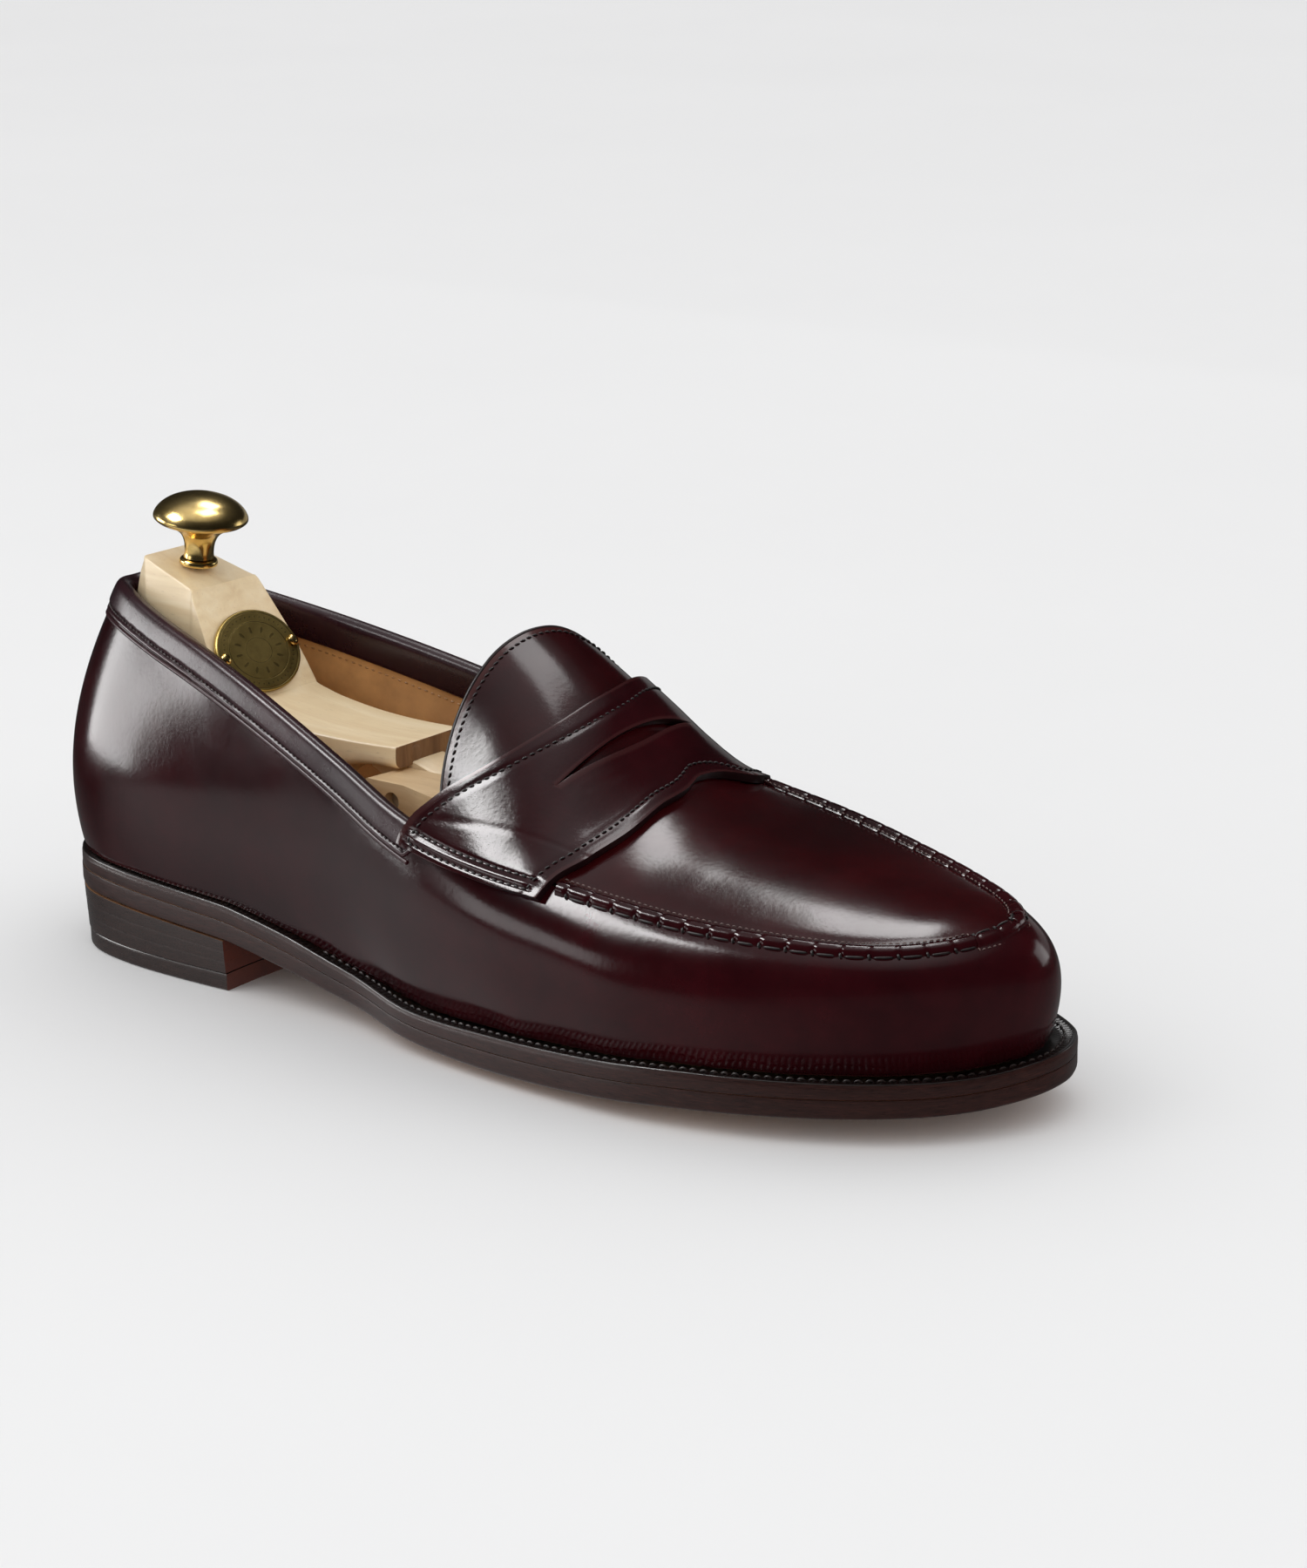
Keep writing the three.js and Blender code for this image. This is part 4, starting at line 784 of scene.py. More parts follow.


# the fine apron stitches take the lightened thread, a painted highlight
st = stitches("apron_fine_stitches", [ridge_line(-2.75, -0.05)], T_ROSE_PAINTED_HIGHLIGHT, pitch=1.55, rad=0.17, height=0.10, fill=0.66)
swap(st, [])
outer = C0 + SIDE * (out_sign * 1.72)[:, None] + UP * 0.02
oN = unit(SIDE * out_sign[:, None] * 0.75 + UP * 0.75)
bars_l = []
nb = int(sc[-1] / PITCH)
for k in range(nb):
    s0, s1_ = (k + 0.62) * PITCH, (k + 1.38) * PITCH
    m_ = (sc >= s0) & (sc <= s1_)
    if m_.sum() > 4:
        bars_l.append((outer[m_] + oN[m_] * 0.10, oN[m_]))


def thread_bars(name, lines, mat, rad, arch):
    V, F = [], []
    for C, N in lines:
        n = len(C)
        C = C[:: max(1, n // 7)]
        N = N[:: max(1, n // 7)]
        n = len(C)
        T = unit(np.gradient(C, axis=0))
        S = unit(np.cross(T, N))
        base = len(V)
        for a in range(n):
            x = -1 + 2 * a / (n - 1)
            r_ = rad * (0.30 if abs(x) > 0.99 else 1.0 - 0.25 * x * x)
            c = C[a] + N[a] * arch * (1 - x * x) - N[a] * (0.55 * rad if abs(x) > 0.99 else 0)
            for b in range(8):
                an = 2 * math.pi * b / 8
                V.append(c + S[a] * r_ * math.cos(an) + N[a] * r_ * 0.8 * math.sin(an))
        for a in range(n - 1):
            for b in range(8):
                F.append((base + a * 8 + b, base + a * 8 + (b + 1) % 8, base + (a + 1) * 8 + (b + 1) % 8, base + (a + 1) * 8 + b))
        F.append(tuple(base + b for b in range(8))[::-1])
        F.append(tuple(base + (n - 1) * 8 + b for b in range(8)))
    return new_obj(name, np.array(V), F, mat, smooth_angle=None)


tb = thread_bars("ridge_hand_stitches", bars_l, T_DARK, 0.30, 0.16)
swap(tb, [])
# tight cross stitches in the notches
cross = []
for k in range(nb + 1):
    s0 = (k + 0.5) * PITCH
    j = int(np.argmin(np.abs(sc - s0)))
    c = C0[j] + SIDE[j] * (out_sign[j] * 1.1) + UP[j] * 0.55
    e = C0[j] + SIDE[j] * (out_sign[j] * 2.15) - UP[j] * 0.40
    a_ = np.linspace(0, 1, 7)[:, None]
    L = c + (e - c) * a_ + unit(TT[j]) * (0.5 * (a_ - 0.5))
    cross.append((L, np.repeat(oN[j][None], 7, 0)))
tc_ = thread_bars("ridge_knot_stitches", cross, T_DARK, 0.34, 0.24)
swap(tc_, [])


# ------------------------------------------------------------------ saddle strap with its slit
def strap_back(b):
    return strapBack(b) - 0.08 * np.exp(-((b - 0.48) / 0.15) ** 2)


def strap_front(b):
    return strapFront(b) + 0.12 + 0.12 * np.exp(-((b - 0.56) / 0.10) ** 2) + 0.10 * smooth(0.75, 0.9, b) + 0.12 * np.exp(-((b + 0.06) / 0.14) ** 2)


def slit_mid(w):
    t = np.clip((w - 0.2) / 0.6, 0, 1)
    s = np.sin(np.pi * t)
    return 11.67 - 1.74 * (w - 0.58) ** 2, s


NB = 240
B = np.linspace(-0.1, 1.1, NB + 1)
UH = 22
verts, fcs = [], []
base_cols = {}
iB, iF = strap_back(B), strap_front(B)
mid, sn = slit_mid(B)
inside = (B > 0.2) & (B < 0.8)
open_h = np.where(inside, 0.078 * np.maximum(sn, 0) ** 1.3, 0.0)
frac = (mid - iB) / (iF - iB)
mid = iB + (iF - iB) * np.clip(frac, 0.3, 0.93)
up_line, lo_line = mid - open_h, mid + open_h * 0.9
width_mm = 11.0                                         # mm per station along the strap width


def strap_point(i, b, extra):
    """Skin lifted to the strap face; the lift is evened along the strap so that it bridges the seam crease."""
    Q = skin(i, b) + skin_n(i, b) * 2.5
    M = Q.copy()
    for _ in range(190):
        M[:, 1:-1] = (M[:, :-2] + 2 * M[:, 1:-1] + M[:, 2:]) / 4
    N = skin_n(i, b)
    D = np.sum((M - Q) * N, -1)
    near = np.clip(np.exp(-(b / 0.13) ** 2) + np.exp(-((b - 1) / 0.13) ** 2), 0, 1) * smooth(-0.1, -0.055, b) * smooth(1.1, 1.055, b)
    D = np.maximum(D, -0.6) * near
    for _ in range(30):
        D[:, 1:-1] = (D[:, :-2] + 2 * D[:, 1:-1] + D[:, 2:]) / 4
        N[:, 1:-1] = (N[:, :-2] + 2 * N[:, 1:-1] + N[:, 2:]) / 4
    N = unit(N)
    return Q + skin_n(i, b) * D[..., None] + N * extra[..., None], D


u = np.linspace(0, 1, UH + 1)
Ur = u[:, None]
Irear = iB[None] + (up_line - iB)[None] * Ur
Ifront = lo_line[None] + (iF - lo_line)[None] * Ur
Bg = np.repeat(B[None], UH + 1, 0)
lipr = np.exp(-(((up_line[None] - Irear) * width_mm) / 3.6) ** 2) * (np.maximum(sn, 0) ** 1.2 * inside)[None]
lipf = np.exp(-(((Ifront - lo_line[None]) * width_mm) / 3.8) ** 2) * (np.maximum(sn, 0) ** 1.2 * inside)[None]


def strap_relief(I, Bq):
    """Turned edges and the raised band between the two stitch rows at each end."""
    end = np.minimum(Bq + 0.1, 1.1 - Bq)
    dmm = end * 62.0                                    # mm from the near end, about
    band = 0.34 * np.exp(-((dmm - 3.6) / 0.95) ** 2) - 0.22 * np.exp(-((dmm - 1.9) / 0.42) ** 2) - 0.24 * np.exp(-((dmm - 5.6) / 0.42) ** 2)
    crease = -0.07 * np.exp(-((dmm - 9.0 - 2.0 * (I - 10.5)) / 0.35) ** 2)
    e0 = (I - strap_back(Bq)) * width_mm
    e1 = (strap_front(Bq) - I) * width_mm
    st_ = -0.20 * np.exp(-((e0 - 2.3) / 0.40) ** 2) - 0.20 * np.exp(-((e1 - 2.3) / 0.40) ** 2)
    inner = smooth(1.2, 2.2, np.minimum(e0, e1))
    return band * inner + crease + st_


Xr = 0.50 * lipr + strap_relief(Irear, Bg)
Xf = -0.90 * lipf + strap_relief(Ifront, Bg)
Xf = Xf - 0.06 * np.exp(-(((Ifront - lo_line[None]) * width_mm - 2.6) / 0.22) ** 2) * ((B > 0.25) & (B < 0.68))[None]
(Pr, Dr), (Pf, Df) = strap_point(Irear, Bg, Xr), strap_point(Ifront, Bg, Xf)
n1 = Pr.shape[0] * Pr.shape[1]
V = np.concatenate([Pr.reshape(-1, 3), Pf.reshape(-1, 3)])
F = grid_faces(UH, NB, 0) + grid_faces(UH, NB, n1)
uvr, uvf = grid_uv(Pr), grid_uv(Pf)
strap = new_obj("saddle_strap_leather", V, F, M_STRAP, uv=np.concatenate([uvr, uvf + np.array([[uvr[:, 0].max(), 0]])]), smooth_angle=50)
bm = bmesh.new()
bm.from_mesh(strap.data)
bmesh.ops.remove_doubles(bm, verts=bm.verts, dist=2e-6)
bmesh.ops.recalc_face_normals(bm, faces=bm.faces)
c_ = sum((f.normal.z for f in bm.faces))
if c_ < 0:
    bmesh.ops.reverse_faces(bm, faces=bm.faces)
bm.to_mesh(strap.data)
bm.free()
sol = strap.modifiers.new("thickness", "SOLIDIFY")
sol.thickness = 0.0021
sol.offset = -1
sol.use_even_offset = True
strap.data.materials.append(M_EDGE)
sol.material_offset_rim = 1
bevel(strap, 0.55, 3, 50)
swap(strap, ["saddle_strap"])


def strap_lift(i, b):
    """Lift of the bridged strap at a station and width, read from the two grids."""
    jb = np.clip((b + 0.1) / 1.2 * NB, 0, NB - 1e-6)
    j0 = jb.astype(int)
    f = jb - j0
    out = np.zeros_like(b)
    for k in range(len(b)):
        j = j0[k]
        hi = i[k] > mid[j]
        g = Df if hi else Dr
        lo, up = (lo_line[j], iF[j]) if hi else (iB[j], up_line[j])
        u_ = int(np.clip(round((i[k] - lo) / (up - lo) * UH), 0, UH))
        out[k] = g[u_, j] * (1 - f[k]) + g[u_, j + 1] * f[k]
    return out


def strap_line(fi, b, off=2.62, n=None):
    i = fi(b)
    return skin(i, b) + skin_n(i, b) * (off + strap_lift(i, b))[:, None], skin_n(i, b)


bb = np.linspace(-0.072, 1.072, 420)
q1 = strap_line(lambda b: strap_back(b) + 2.3 / width_mm, bb, 2.36)
q2 = strap_line(lambda b: strap_front(b) - 2.3 / width_mm, bb, 2.36)
rows_ = [q1, q2]
for bq in (-0.1 + 1.9 / 62, -0.1 + 5.6 / 62, 1.1 - 1.9 / 62, 1.1 - 5.6 / 62):
    i0, i1 = float(strap_back(bq)) + 0.2, float(strap_front(bq)) - 0.2
    ii = np.linspace(i0, i1, 60)
    bq_ = np.full_like(ii, bq)
    rows_.append((skin(ii, bq_) + skin_n(ii, bq_) * (2.34 + strap_lift(ii, bq_))[:, None], skin_n(ii, bq_)))
st = stitches("strap_stitches", rows_, T_DARK, pitch=2.05, rad=0.30, height=0.17, slant=0.22)
swap(st, [])


# ------------------------------------------------------------------ outline loops for the bottom
def loop_solid(name, r, prof, zf, mat, closed=True, centre=None, mats=None, band=None, smooth_angle=40):
    """Stub that builds nothing and returns None; prof, meant to list (inset mm, height 0..1 between the two z
    surfaces) from the bottom up, is not used.
    """
    return None


def centre_line(r):
    q = np.mod(r, NR)
    q = np.where(q > 21, NR - q, q)
    q = np.clip(q, 2.0, 19.0)
    a, b = outline(q, 0.0 * q), outline(NR - q, 0.0 * q)
    return (a + b) / 2


def bottom_slab(name, r, inset, side, zlo, zhi, mats, nin=9, relief=None):
    """Plate between two height functions. side: [(extra inset, t)] round the rim from bottom to top."""
    C = centre_line(r)
    loops, kinds = [], []
    for k in range(nin):
        s = 1 - (k / nin) ** 1.0
        base = outline(r, inset + side[0][0])
        xy = base + (C - base) * s * 0.999
        loops.append(np.concatenate([xy, zlo(xy[:, 0], xy[:, 1])[:, None]], -1))
        kinds.append(0)
    for e, t in side:
        xy = outline(r, inset + e)
        z = zlo(xy[:, 0], xy[:, 1]) * (1 - t) + zhi(xy[:, 0], xy[:, 1]) * t
        loops.append(np.concatenate([xy, z[:, None]], -1))
        kinds.append(1)
    for k in range(nin):
        s = ((k + 1) / nin)
        base = outline(r, inset + side[-1][0])
        xy = base + (C - base) * s * 0.999
        loops.append(np.concatenate([xy, zhi(xy[:, 0], xy[:, 1])[:, None]], -1))
        kinds.append(2)
    L = np.array(loops)
    n = len(r)
    V = L.reshape(-1, 3)
    Fq, fm = [], []
    for a in range(len(L) - 1):
        for j in range(n):
            j2 = (j + 1) % n
            Fq.append((a * n + j, a * n + j2, (a + 1) * n + j2, (a + 1) * n + j))
            fm.append(0 if kinds[a] == 1 and kinds[a + 1] == 1 else 1)
    per = np.concatenate([[0], np.cumsum(np.linalg.norm(np.diff(outline(r, 0 * r), axis=0), axis=-1))])[:n]
    zz = L[..., 2]
    uv = np.stack([np.repeat(per[None], len(L), 0), zz], -1).reshape(-1, 2)
    ob = new_obj(name, V, Fq, None, uv=uv, mats=mats, face_mats=fm, smooth_angle=38)
    bm = bmesh.new()
    bm.from_mesh(ob.data)
    bmesh.ops.remove_doubles(bm, verts=bm.verts, dist=2e-5)
    # close the middle seam
    bmesh.ops.holes_fill(bm, edges=[e for e in bm.edges if e.is_boundary], sides=0)
    bmesh.ops.recalc_face_normals(bm, faces=bm.faces)
    bm.to_mesh(ob.data)
    bm.free()
    ob.data.set_sharp_from_angle(angle=math.radians(38))
    return ob


rO = np.arange(0, NR, 0.1)
SIDE_ROUND = [(0.75, 0.0), (0.34, 0.05), (0.10, 0.14), (0.0, 0.28), (0.0, 0.5), (0.0, 0.72), (0.0, 0.92), (0.06, 0.98), (0.2, 1.0)]
outs = bottom_slab("outsole_leather", rO, 0.05 + 0 * rO, SIDE_ROUND, zB, zS, [M_SOLE_EDGE, M_SOLE_FACE])
swap(outs, ["outsole"])

# welt and rand in one run: top face with the wheeled marks, then the edge
rN = 4200
r3 = np.linspace(0, NR, rN, endpoint=False)
arc = np.concatenate([[0], np.cumsum(np.linalg.norm(np.diff(outline(r3, 0 * r3), axis=0), axis=-1))])
heelish = smooth(7.4, 6.4, np.minimum(r3, NR - r3))
mark = 0.5 + 0.5 * np.cos(arc / arc[-1] * 2 * np.pi * round(arc[-1] / 1.75))
mark = mark ** 1.5
prof = [(9.8, 0.02), (5.0, 0.0), (0.5, 0.0), (0.12, 0.015), (0.05, 0.05), (0.0, 0.34), (0.0, 0.60), (0.02, 0.72), (0.22, 0.84), (0.16, 0.93), (0.34, 0.985), (0.70, 1.0), (1.15, 0.965), (1.45, 0.985),
        (2.1, 1.0), (2.9, 1.0), (3.6, 0.99), (4.3, 0.93), (5.6, 0.88), (9.8, 0.86)]
loops = []
for k, (d, t) in enumerate(prof):
    dd = d + 0.15 * heelish
    xy = outline(r3, dd)
    z0, z1 = zS(xy[:, 0], xy[:, 1]) + 0.05, zW(xy[:, 0], xy[:, 1])
    z = z0 + (z1 - z0) * t
    if 1.3 < d < 3.7:
        z = z - 0.30 * mark * (1 - heelish * 0.4)
    loops.append(np.concatenate([xy, z[:, None]], -1))
L = np.array(loops)
Rg = np.transpose(L, (1, 0, 2))
V = Rg.reshape(-1, 3)
F = grid_faces(rN, len(prof), 0, close_u=True, close_v=True)
uv = np.stack([np.repeat(arc[:, None], len(prof), 1), np.cumsum(np.concatenate([[0], np.linalg.norm(np.diff(Rg[0], axis=0), axis=-1)]))[None].repeat(rN, 0)], -1).reshape(-1, 2)
welt = new_obj("welt_and_rand", V, F, M_WELT, uv=uv, smooth_angle=None)
welt.data.materials.append(M_SOLE_EDGE)
for p in welt.data.polygons:
    if 2 <= p.index % len(prof) <= 8:
        p.material_index = 1
fix_normals(welt)
swap(welt, ["welt", "heel_rand"])
# sewing on the welt, just outside the feather line
q = np.linspace(7.3, NR - 7.3, 2400)
xy = outline(q, 3.15 + 0 * q)
ws = np.concatenate([xy, (zW(xy[:, 0], xy[:, 1]) - 0.05)[:, None]], -1)
st = stitches("welt_stitches", [(ws, np.repeat([[0, 0, 1.0]], len(ws), 0))], T_WELT, pitch=2.6, rad=0.34, height=0.22, fill=0.8)
swap(st, [])

# ------------------------------------------------------------------ heel stack
I_HEEL, TOP_T = 5.78, 4.5


def heel_ring(shrink, zf, nseg=150, nb=26):
    r = np.linspace(-I_HEEL, I_HEEL, nseg)
    o = outline(r, shrink + 0 * r)
    a, b = o[-1], o[0]                      # medial? the two breast corners
    w = np.linspace(0, 1, nb + 2)[1:-1]
    bow = -2.2 * (1 - (2 * w - 1) ** 2)
    br = a + (b - a) * w[:, None]
    br[:, 0] += bow
    xy = np.concatenate([o, br])
    return np.concatenate([xy, zf(xy[:, 0], xy[:, 1])[:, None]], -1)


def heel_piece(name, z0, z1, sh0, sh1, nodes, mats, groove=0.14):
    if z0(np.array([40.0]), np.array([0.0]))[0] < 1:
        prof = [(0.60, 0.0), (0.20, 0.04), (0.03, 0.10), (0.0, 0.25), (0.0, 0.5), (0.0, 0.8), (0.0, 0.95), (groove, 1.0)]
    else:
        prof = [(groove, 0.0), (0.0, 0.05), (0.0, 0.25), (0.0, 0.5), (0.0, 0.75), (0.0, 0.95), (groove, 1.0)]
    rings, nseg, nb = [], 150, 26
    for e, t in prof:
        sh = sh0 + (sh1 - sh0) * t + e
        rings.append(heel_ring(sh, lambda x, y, t=t: z0(x, y) * (1 - t) + z1(x, y) * t, nseg, nb))
    R_ = np.array(rings)
    n = R_.shape[1]
    V = R_.reshape(-1, 3)
    F, fm = [], []
    for a in range(len(R_) - 1):
        for j in range(n):
            F.append((a * n + j, a * n + (j + 1) % n, (a + 1) * n + (j + 1) % n, (a + 1) * n + j))
            fm.append(1 if j >= nseg - 1 else 0)
    cap0 = [k for k in range(n)]
    F.append(tuple(cap0[::-1]))
    fm.append(2)
    F.append(tuple((len(R_) - 1) * n + k for k in range(n)))
    fm.append(2)
    per = np.concatenate([[0], np.cumsum(np.linalg.norm(np.diff(R_[0], axis=0), axis=-1))])
    uv = np.stack([np.repeat(per[None], len(R_), 0), R_[..., 2]], -1).reshape(-1, 2)
    ob = new_obj(name, V, F, None, uv=uv, mats=mats, face_mats=fm, smooth_angle=35)
    fix_normals(ob)
    swap(ob, nodes)
    return ob


zc = lambda c: (lambda x, y: np.full_like(x, c))
heel_piece("top_piece_rubber", zc(0.0), zc(TOP_T), 1.3, 1.25, ["heel_top_piece"], [M_HEEL_EDGE, M_BREAST, M_TOPPIECE], groove=0.10)
for k in range(3):
    h = 0.01 / 12
    k0, k1 = k / 3 + (h if k else 0), (k + 1) / 3 - (h if k < 2 else 0)
    f0 = lambda x, y, q=k0: (TOP_T + 0.3) * (1 - q) + (zB(x, y) - 0.3) * q
    f1 = lambda x, y, q=k1: (TOP_T + 0.3) * (1 - q) + (zB(x, y) - 0.3) * q
    heel_piece("heel_lift_leather_%d" % (k + 1), f0, f1, 1.0 - 0.25 * k, 1.0 - 0.25 * k - 0.2, ["heel_lift_%d" % (k + 1)], [M_HEEL_EDGE, M_BREAST, M_SOLE_FACE], groove=0.03)


# ------------------------------------------------------------------ insole and sock
def floor_grid(i0, i1, extra, dz, nu=70, nw=36):
    i = np.linspace(i0, i1, nu)
    w = np.linspace(0, 1, nw)
    a = outline(i, row(i)[:, 2] + extra)
    b = outline(NR - i, row(NR - i)[:, 2] + extra)
    xy = a[:, None] + (b - a)[:, None] * w[None, :, None]
    z = zW(xy[..., 0], xy[..., 1]) + dz
    return np.concatenate([xy, z[..., None]], -1)


g = floor_grid(0.45, 20.5, 4.1, 2.8)
ins = sheet_obj("insole_board", g, 2.4, M_INSOLE, bev=0.4)
swap(ins, ["insole"])
g = floor_grid(0.6, 7.2, 4.6, 4.0, 60, 40)
g[..., 2] += 0.12 * np.sin(g[..., 0] * 0.31) * np.sin(g[..., 1] * 0.27)
sock = sheet_obj("sock_lining_pad", g, 0.85, M_SOCK, bev=0.3)
swap(sock, ["sock_lining"])


# ------------------------------------------------------------------ shoe tree, forepart
def cad_copy(name, node, mat, body, bev, ang=28, smooth_angle=32):
    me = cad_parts[node].data.copy()
    me.name = name
    me.materials.clear()
    me.materials.append(mat)
    ob = bpy.data.objects.new(name, me)
    bpy.context.scene.collection.objects.link(ob)
    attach(ob, body)
    bm = bmesh.new()
    bm.from_mesh(me)
    bmesh.ops.remove_doubles(bm, verts=bm.verts, dist=1e-6)
    bmesh.ops.dissolve_limit(bm, angle_limit=math.radians(1.5), verts=bm.verts, edges=bm.edges)
    bmesh.ops.recalc_face_normals(bm, faces=bm.faces)
    bm.to_mesh(me)
    bm.free()
    me.polygons.foreach_set("use_smooth", [True] * len(me.polygons))
    me.set_sharp_from_angle(angle=math.radians(smooth_angle))
    bevel(ob, bev, 3, ang)
    swap(ob, [node])
    return ob


fore = cad_copy("tree_forepart_wood", "tree_forepart", M_WOOD_IN_PAINTED_SHADE, "shoe", 0.9, 40, 40)

# ------------------------------------------------------------------ shoe tree, heel block: section rings with crisp softened edges
S = np.array([
    [14.8, 74, 56, 3.2, 3.2], [16.4, 82, 46, 4.0, 4.4], [18.2, 89, 40, 4.6, 6.0], [19.9, 94.6, 37, 5.6, 7.0], [22.7, 99.6, 34.8, 7.5, 8.6],
    [25.6, 103.6, 34, 8.9, 9.8], [30, 102.2, 33.4, 10.0, 10.8], [38, 99.7, 33.2, 10.9, 12.6], [45.5, 97.3, 33.4, 11.6, 14.4], [50.5, 88.8, 34.0, 14.6, 16.0],
    [55.2, 80.8, 35.2, 16.4, 17.2], [61.6, 69.95, 37.6, 16.8, 17.2], [64.6, 69.0, 39.8, 16.2, 16.4], [70.5, 68.2, 44, 15.0, 15.2], [84, 66.7, 53.5, 13.8, 13.6],
    [96, 66.2, 59.4, 13, 12.8], [105, 66.2, 60.6, 12.6, 12.4], [113.5, 66.5, 60.6, 12.2, 12.2]])


def round_poly(P, rad, n=3):
    """Closed polygon with every corner rounded by rad mm; same point count for every ring."""
    P = np.asarray(P, float)
    out = []
    m = len(P)
    for k in range(m):
        a, b, c = P[k - 1], P[k], P[(k + 1) % m]
        u1, u2 = a - b, c - b
        l1, l2 = np.linalg.norm(u1), np.linalg.norm(u2)
        r_ = min(rad, 0.42 * l1, 0.42 * l2)
        p0, p1 = b + u1 / max(l1, 1e-9) * r_, b + u2 / max(l2, 1e-9) * r_
        for j in range(n + 1):
            t = j / n
            out.append((1 - t) ** 2 * p0 + 2 * t * (1 - t) * b + t * t * p1)
    return out


xs_ = []
for k in range(len(S) - 1):
    seg = S[k + 1, 0] - S[k, 0]
    xs_ += list(S[k, 0] + seg * np.arange(0, 1, min(1.0 / max(1, round(seg / 1.6)), 1.0)))
xs_ = np.array(sorted(set(np.round(xs_ + [S[-1, 0], 25.2, 26.0, 45.1, 45.9, 61.2, 62.0], 3))))
cols = [np.interp(xs_, S[:, 0], S[:, c]) for c in range(1, 5)]
# soften the neck from the block to its end, keep the two top edges crisp
for c in (0, 1, 2, 3):
    sm = cols[c].copy()
    for _ in range(14):
        sm[1:-1] = (sm[:-2] + 2 * sm[1:-1] + sm[2:]) / 4
    wgt = smooth(62, 67, xs_) if c == 0 else smooth(16, 20, xs_)
    cols[c] = cols[c] * (1 - wgt) + sm * wgt
rings = []
for x, zt, zb, a, b in zip(xs_, *cols):
    zm = zb + 0.45 * (zt - zb)
    mb = b + (a - b) * 0.3
    e = 0.0
    poly = [(-a, zt), (a, zt), (mb + 0.2, zm), (b, zb + 1.2), (b - 1.2, zb), (-b + 1.2, zb), (-b, zb + 1.2), (-mb - 0.2, zm)]
    rings.append([(x, y, z) for y, z in round_poly(poly, 0.9)])
rings = np.array(rings)
# rounded end edges
def end_ring(r, k, dx):
    c = r.mean(0)
    q_ = c + (r - c) * k
    q_[:, 0] = r[:, 0] + dx
    return q_


rings = np.concatenate([[end_ring(rings[0], 0.55, -0.75)], [end_ring(rings[0], 0.85, -0.45)], rings[:-1],
                        [end_ring(rings[-1], 1.0, -0.6)], [end_ring(rings[-1], 0.985, -0.18)], [end_ring(rings[-1], 0.955, 0.0)]])
block = loft("tree_block_wood", rings, M_WOOD, body="tree_heel", smooth_angle=30)
block.data.materials.append(M_ENDGRAIN_PAINTED_SHADE)
for p in block.data.polygons:
    if len(p.vertices) > 8 and p.center.x > 0:
        pass
# the end faces of the neck take the end-grain wood, darkened partly as painted shade
endx = max(v.co.x for v in block.data.vertices)
for p in block.data.polygons:
    if p.center.x > endx - 0.0004 and abs(p.normal.x) > 0.7:
        p.material_index = 1
swap(block, ["tree_heel_block"])

# hinge lug below the neck
sh = [(99, 62), (112, 62), (123.2, 58.5)] + [(118 + 6.2 * math.cos(a), 55 + 6.2 * math.sin(a)) for a in np.linspace(0.6, -2.6, 22)] + [(99, 58.5)]
sh = [tuple(p) for p in round_poly(sh, 0.5, 2)]
lug_r = []
for y, k in ((-6, 0.95), (-5.6, 0.985), (-5.0, 1.0), (5.0, 1.0), (5.6, 0.985), (6, 0.95)):
    c = np.array([112.0, 57.0])
    lug_r.append([(c[0] + (px - c[0]) * k, y, c[1] + (pz - c[1]) * k) for px, pz in sh])
lug = loft("tree_hinge_lug", lug_r, M_WOOD, body="tree_heel", smooth_angle=35)
swap(lug, [])
# dowel plug seen on the neck end, as a short turned peg, in the darkened end-grain wood whose dark tone is partly
# painted shade
peg = []
for rad, dx in ((0.1, 0.25), (1.5, 0.25), (2.0, 0.1), (2.15, -0.1), (2.15, -1.2)):
    peg.append([(113.5 + dx, -4.6 + rad * math.cos(a), 63.4 + rad * math.sin(a)) for a in np.linspace(0, 2 * math.pi, 28, endpoint=False)])
swap(loft("tree_neck_dowel", peg, M_ENDGRAIN_PAINTED_SHADE, body="tree_heel", smooth_angle=35), [])


# ------------------------------------------------------------------ knob, ferrule, medallion
def lathe(name, prof, base, axis, mat, body="tree_heel", seg=96, mod=None):
    axis = unit(np.array(axis, float))
    e1 = unit(np.cross(axis, [0, 1, 0.0]))
    e2 = np.cross(axis, e1)
    rings = []
    for r_, h in prof:
        rr_ = max(r_, 0.01)
        rings.append([np.array(base) + axis * h + (e1 * math.cos(a) + e2 * math.sin(a)) * rr_ for a in np.linspace(0, 2 * math.pi, seg, endpoint=False)])
    return loft(name, rings, mat, body=body, smooth_angle=35)


def spline(pts, n=8):
    P = np.array(pts, float)
    P = np.concatenate([[2 * P[0] - P[1]], P, [2 * P[-1] - P[-2]]])
    out = []
    for k in range(1, len(P) - 2):
        p0, p1, p2, p3 = P[k - 1:k + 3]
        for t in np.linspace(0, 1, n, endpoint=False):
            out.append(0.5 * (2 * p1 + (p2 - p0) * t + (2 * p0 - 5 * p1 + 4 * p2 - p3) * t * t + (3 * p1 - p0 - 3 * p2 + p3) * t ** 3))
    out.append(P[-2])
    return np.array(out)


